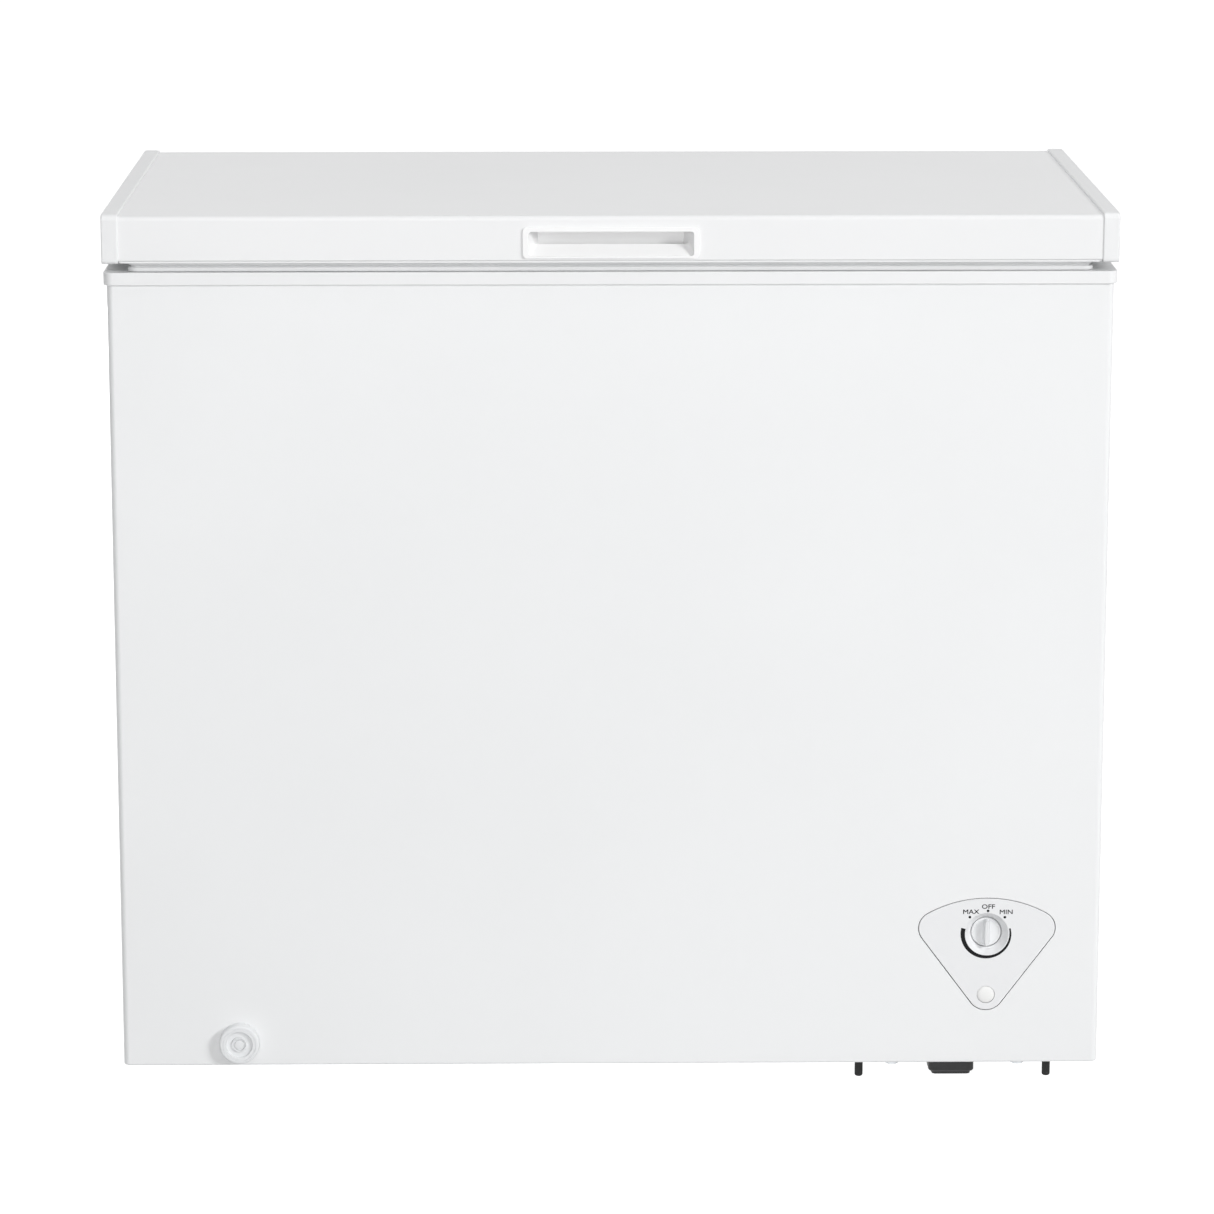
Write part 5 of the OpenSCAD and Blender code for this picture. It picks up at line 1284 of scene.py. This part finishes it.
def boot_plan(wall):
    """The boot's plan at the hinge, less a wall."""
    half, out = boot_half - wall, boot_high.y - wall
    return [(HINGE_X - half, BACK - wall * 2), (HINGE_X + half, BACK - wall * 2),
            (HINGE_X + half, out - 4), (HINGE_X + half - 4, out), (HINGE_X - half + 4, out),
            (HINGE_X - half, out - 4)]


boot = push(pen("hinge_boots", flat(boot_plan(0), boot_low.z)), z=boot_high.z - boot_low.z)
soften(boot, 1.6, 3, 30)
carve(boot, push(pen("boot_hollow", flat(boot_plan(BOOT_WALL), boot_low.z + BOOT_WALL)), z=120))
finished(copies(boot, [(0, 0, 0), (-2 * HINGE_X, 0, 0)]), "cabinet", "cover_plastic",
         "hinge_covers")

# %% Bend wire
def wire(name, points, r, closed=False, sides=3):
    """A round wire of radius r through points in millimetres, as a mesh."""
    bpy.ops.object.select_all(action="DESELECT")
    bpy.ops.curve.primitive_nurbs_path_add(location=(0, 0, 0))
    bent = bpy.context.object
    bent.name = name
    bent.data.splines.clear()
    line = bent.data.splines.new("POLY")
    line.points.add(len(points) - 1)
    for spot, point in zip(line.points, points):
        spot.co = (*(Vector(point) * MM), 1)
    line.use_cyclic_u = closed
    bent.data.bevel_depth = r * MM
    bent.data.bevel_resolution = sides
    bent.data.use_fill_caps = not closed
    bpy.ops.object.convert(target="MESH")
    return bent


# %% Wind the springs
spring_low, spring_high = box_mm("hinge_springs")
COIL_R, COIL_WIRE, TURNS, TURN_STEPS = 5.5, 1, 9, 16
coil_y = middle_mm("hinge_springs")[1]
coil_z0, coil_z1 = spring_low.z + COIL_WIRE, spring_high.z - COIL_WIRE
coils = []
for x in (-HINGE_X, HINGE_X):
    helix = [(x + COIL_R * math.cos(t * math.tau), coil_y + COIL_R * math.sin(t * math.tau),
              coil_z0 + (coil_z1 - coil_z0) * t / TURNS)
             for t in [i / TURN_STEPS for i in range(TURNS * TURN_STEPS + 1)]]
    coils.append(wire("spring_coil", helix, COIL_WIRE, sides=2))
springs = named(joined(*coils), "spring_coils")
only(springs)
bpy.ops.object.shade_smooth()
springs.data.materials.clear()
springs.data.materials.append(spring_wire)
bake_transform(springs)
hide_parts("hinge_springs")
print("springs wound:", len(springs.data.polygons), "faces")

# %% [markdown]
# ## Screws
#
# Every screw on the back is a pan head with a cross recess. The head is turned, the recess is cut
# with two crossed bars, and the finished head is copied to each place that a screw has in the
# model.

# %% Turn the screw heads
def pan_heads(name, places, y, r, body, plain):
    """Cross-recessed pan heads at places on the back, facing backwards."""
    head = turn(name, [(0, 0), (r, 0), (r, 0.7), (r * 0.94, 1.15), (r * 0.75, 1.6),
                       (r * 0.45, 1.9), (0, 2)], (0, y, 0), 28)
    arm, half = r * 0.52, 0.5
    bars = [push(pen("recess", facing(rounded(-a, -b, a, b, 0.3, 2), y + 0.9)), y=2)
            for a, b in ((arm, half), (half, arm))]
    carve(head, *bars)
    return finished(copies(head, [(x, 0, z) for x, z in places]), body, "zinc", plain)


pan_heads("hinge_screw_heads", [(s * HINGE_X + dx, z) for s in (-1, 1) for dx in (-14, 14)
                                for z in (box_mm("hinge_bases")[0].z + 18, ring_high.z - 27)],
          BACK + 2, 4.6, "cabinet", "hinge_screws")
pan_heads("arm_screw_heads", [(s * HINGE_X + dx, z) for s in (-1, 1) for dx in (-11, 11)
                              for z in (lid_low.z + 13, lid_low.z + 28)],
          lid_high.y + 2, 4.6, "lid", "arm_screws")
pan_heads("cover_screw_heads", [(cover_low.x + 7, cover_low.z + 42.8),
                                (cover_low.x + 7, cover_high.z - 60.8),
                                (cover_low.x + 89, cover_high.z - 8),
                                (cover_high.x - 59.5, cover_high.z - 8)],
          BACK, 4.8, "cabinet", "rear_cover_screws")

# %% [markdown]
# ## The gland
#
# The mains lead would leave through a black gland in the cover: a rubber bush with a groove that
# grips the sheet and three soft rings down its nose. It is one turned profile.

# %% Turn the gland
gland = turn("gland", [
    (4, -4.5), (9.4, -4.5), (10, -3.9), (10, -1.4), (9.4, -0.8), (8, -0.8), (8, 0), (9.4, 0),
    (10, 0.6), (10, 1.6), (9.6, 2.2), (8.4, 2.6), (8.9, 3.3), (8.7, 4.2), (7.7, 4.6), (8.2, 5.3),
    (8, 6.1), (7, 6.5), (7.4, 7.2), (7.1, 8.4), (6.4, 9), (4.6, 9), (4, 8.5)],
    (gland_x, BACK, gland_z), 40)
with editing(gland):
    pick(gland, "EDGE", lambda at, way: False)
    bpy.ops.mesh.select_non_manifold()
    bpy.ops.mesh.bridge_edge_loops()
outward(gland)
finished(gland, "cabinet", "black_plastic", "cord_gland", angle=50)

# %% [markdown]
# ## The basket
#
# A wire basket hangs in the well from two rails that lie on the frame's ledge. It is welded from
# straight lengths bent at their corners: thick wire for the rims and rails, thin for the mesh. Each
# length is one bent wire, and the bend is a short arc, as a bending pin leaves it.

# %% Bend the corners of a wire
def bent(points, r=6, steps=4):
    """A line through points with each inner corner bent to a radius."""
    points = [Vector(p) for p in points]
    line = [points[0]]
    for before, corner, after in zip(points, points[1:], points[2:]):
        start = corner + (before - corner).normalized() * r
        end = corner + (after - corner).normalized() * r
        line += [start.lerp(corner, t).lerp(corner.lerp(end, t), t)
                 for t in [i / steps for i in range(steps + 1)]]
    return line + [points[-1]]


basket_low, basket_high = box_mm("wire_basket")
THICK, THIN = 2.2, 1.54
ACROSS, ALONG = 8, 9
RAIL_R, RAIL_OUT, BASKET_DEEP = 1.9, 14.5, 205
bx0, bx1 = basket_low.x + THICK, basket_high.x - THICK
bz0, rail_z = basket_low.z + THICK, basket_high.z - THICK
bz1 = bz0 + BASKET_DEEP
rail_y0, rail_y1 = basket_low.y + RAIL_R, basket_high.y - RAIL_R
by0, by1 = rail_y0 + RAIL_OUT, rail_y1 - RAIL_OUT
print("basket, mm:", round(bx1 - bx0), "by", round(by1 - by0), "by", round(bz1 - bz0))

# %% Weld the basket
wires = [wire("rim_wire", [(x, y, z) for x, y in rounded(bx0, by0, bx1, by1, 5, 4)], THICK, True)
         for z in (bz0, (bz0 + bz1) / 2, bz1)]
for i in range(1, ACROSS):
    x = bx0 + (bx1 - bx0) * i / ACROSS
    wires.append(wire("mesh_wire", bent([(x, by0, bz1), (x, by0, bz0), (x, by1, bz0),
                                         (x, by1, bz1)]), THIN))
for i in range(1, ALONG):
    y = by0 + (by1 - by0) * i / ALONG
    wires.append(wire("mesh_wire", bent([(bx0, y, bz1), (bx0, y, bz0), (bx1, y, bz0),
                                         (bx1, y, bz1)]), THIN))
for y, rail in ((by0, rail_y0), (by1, rail_y1)):
    wires.append(wire("rail_wire", bent([(bx0, y, bz0 + 2), (bx0, y, rail_z), (bx0, rail, rail_z),
                                         (bx1, rail, rail_z), (bx1, y, rail_z),
                                         (bx1, y, bz0 + 2)], 5), THICK))
basket = named(joined(*wires), "basket")
finished(basket, "wire_basket", "basket_coat", "wire_basket", angle=60)
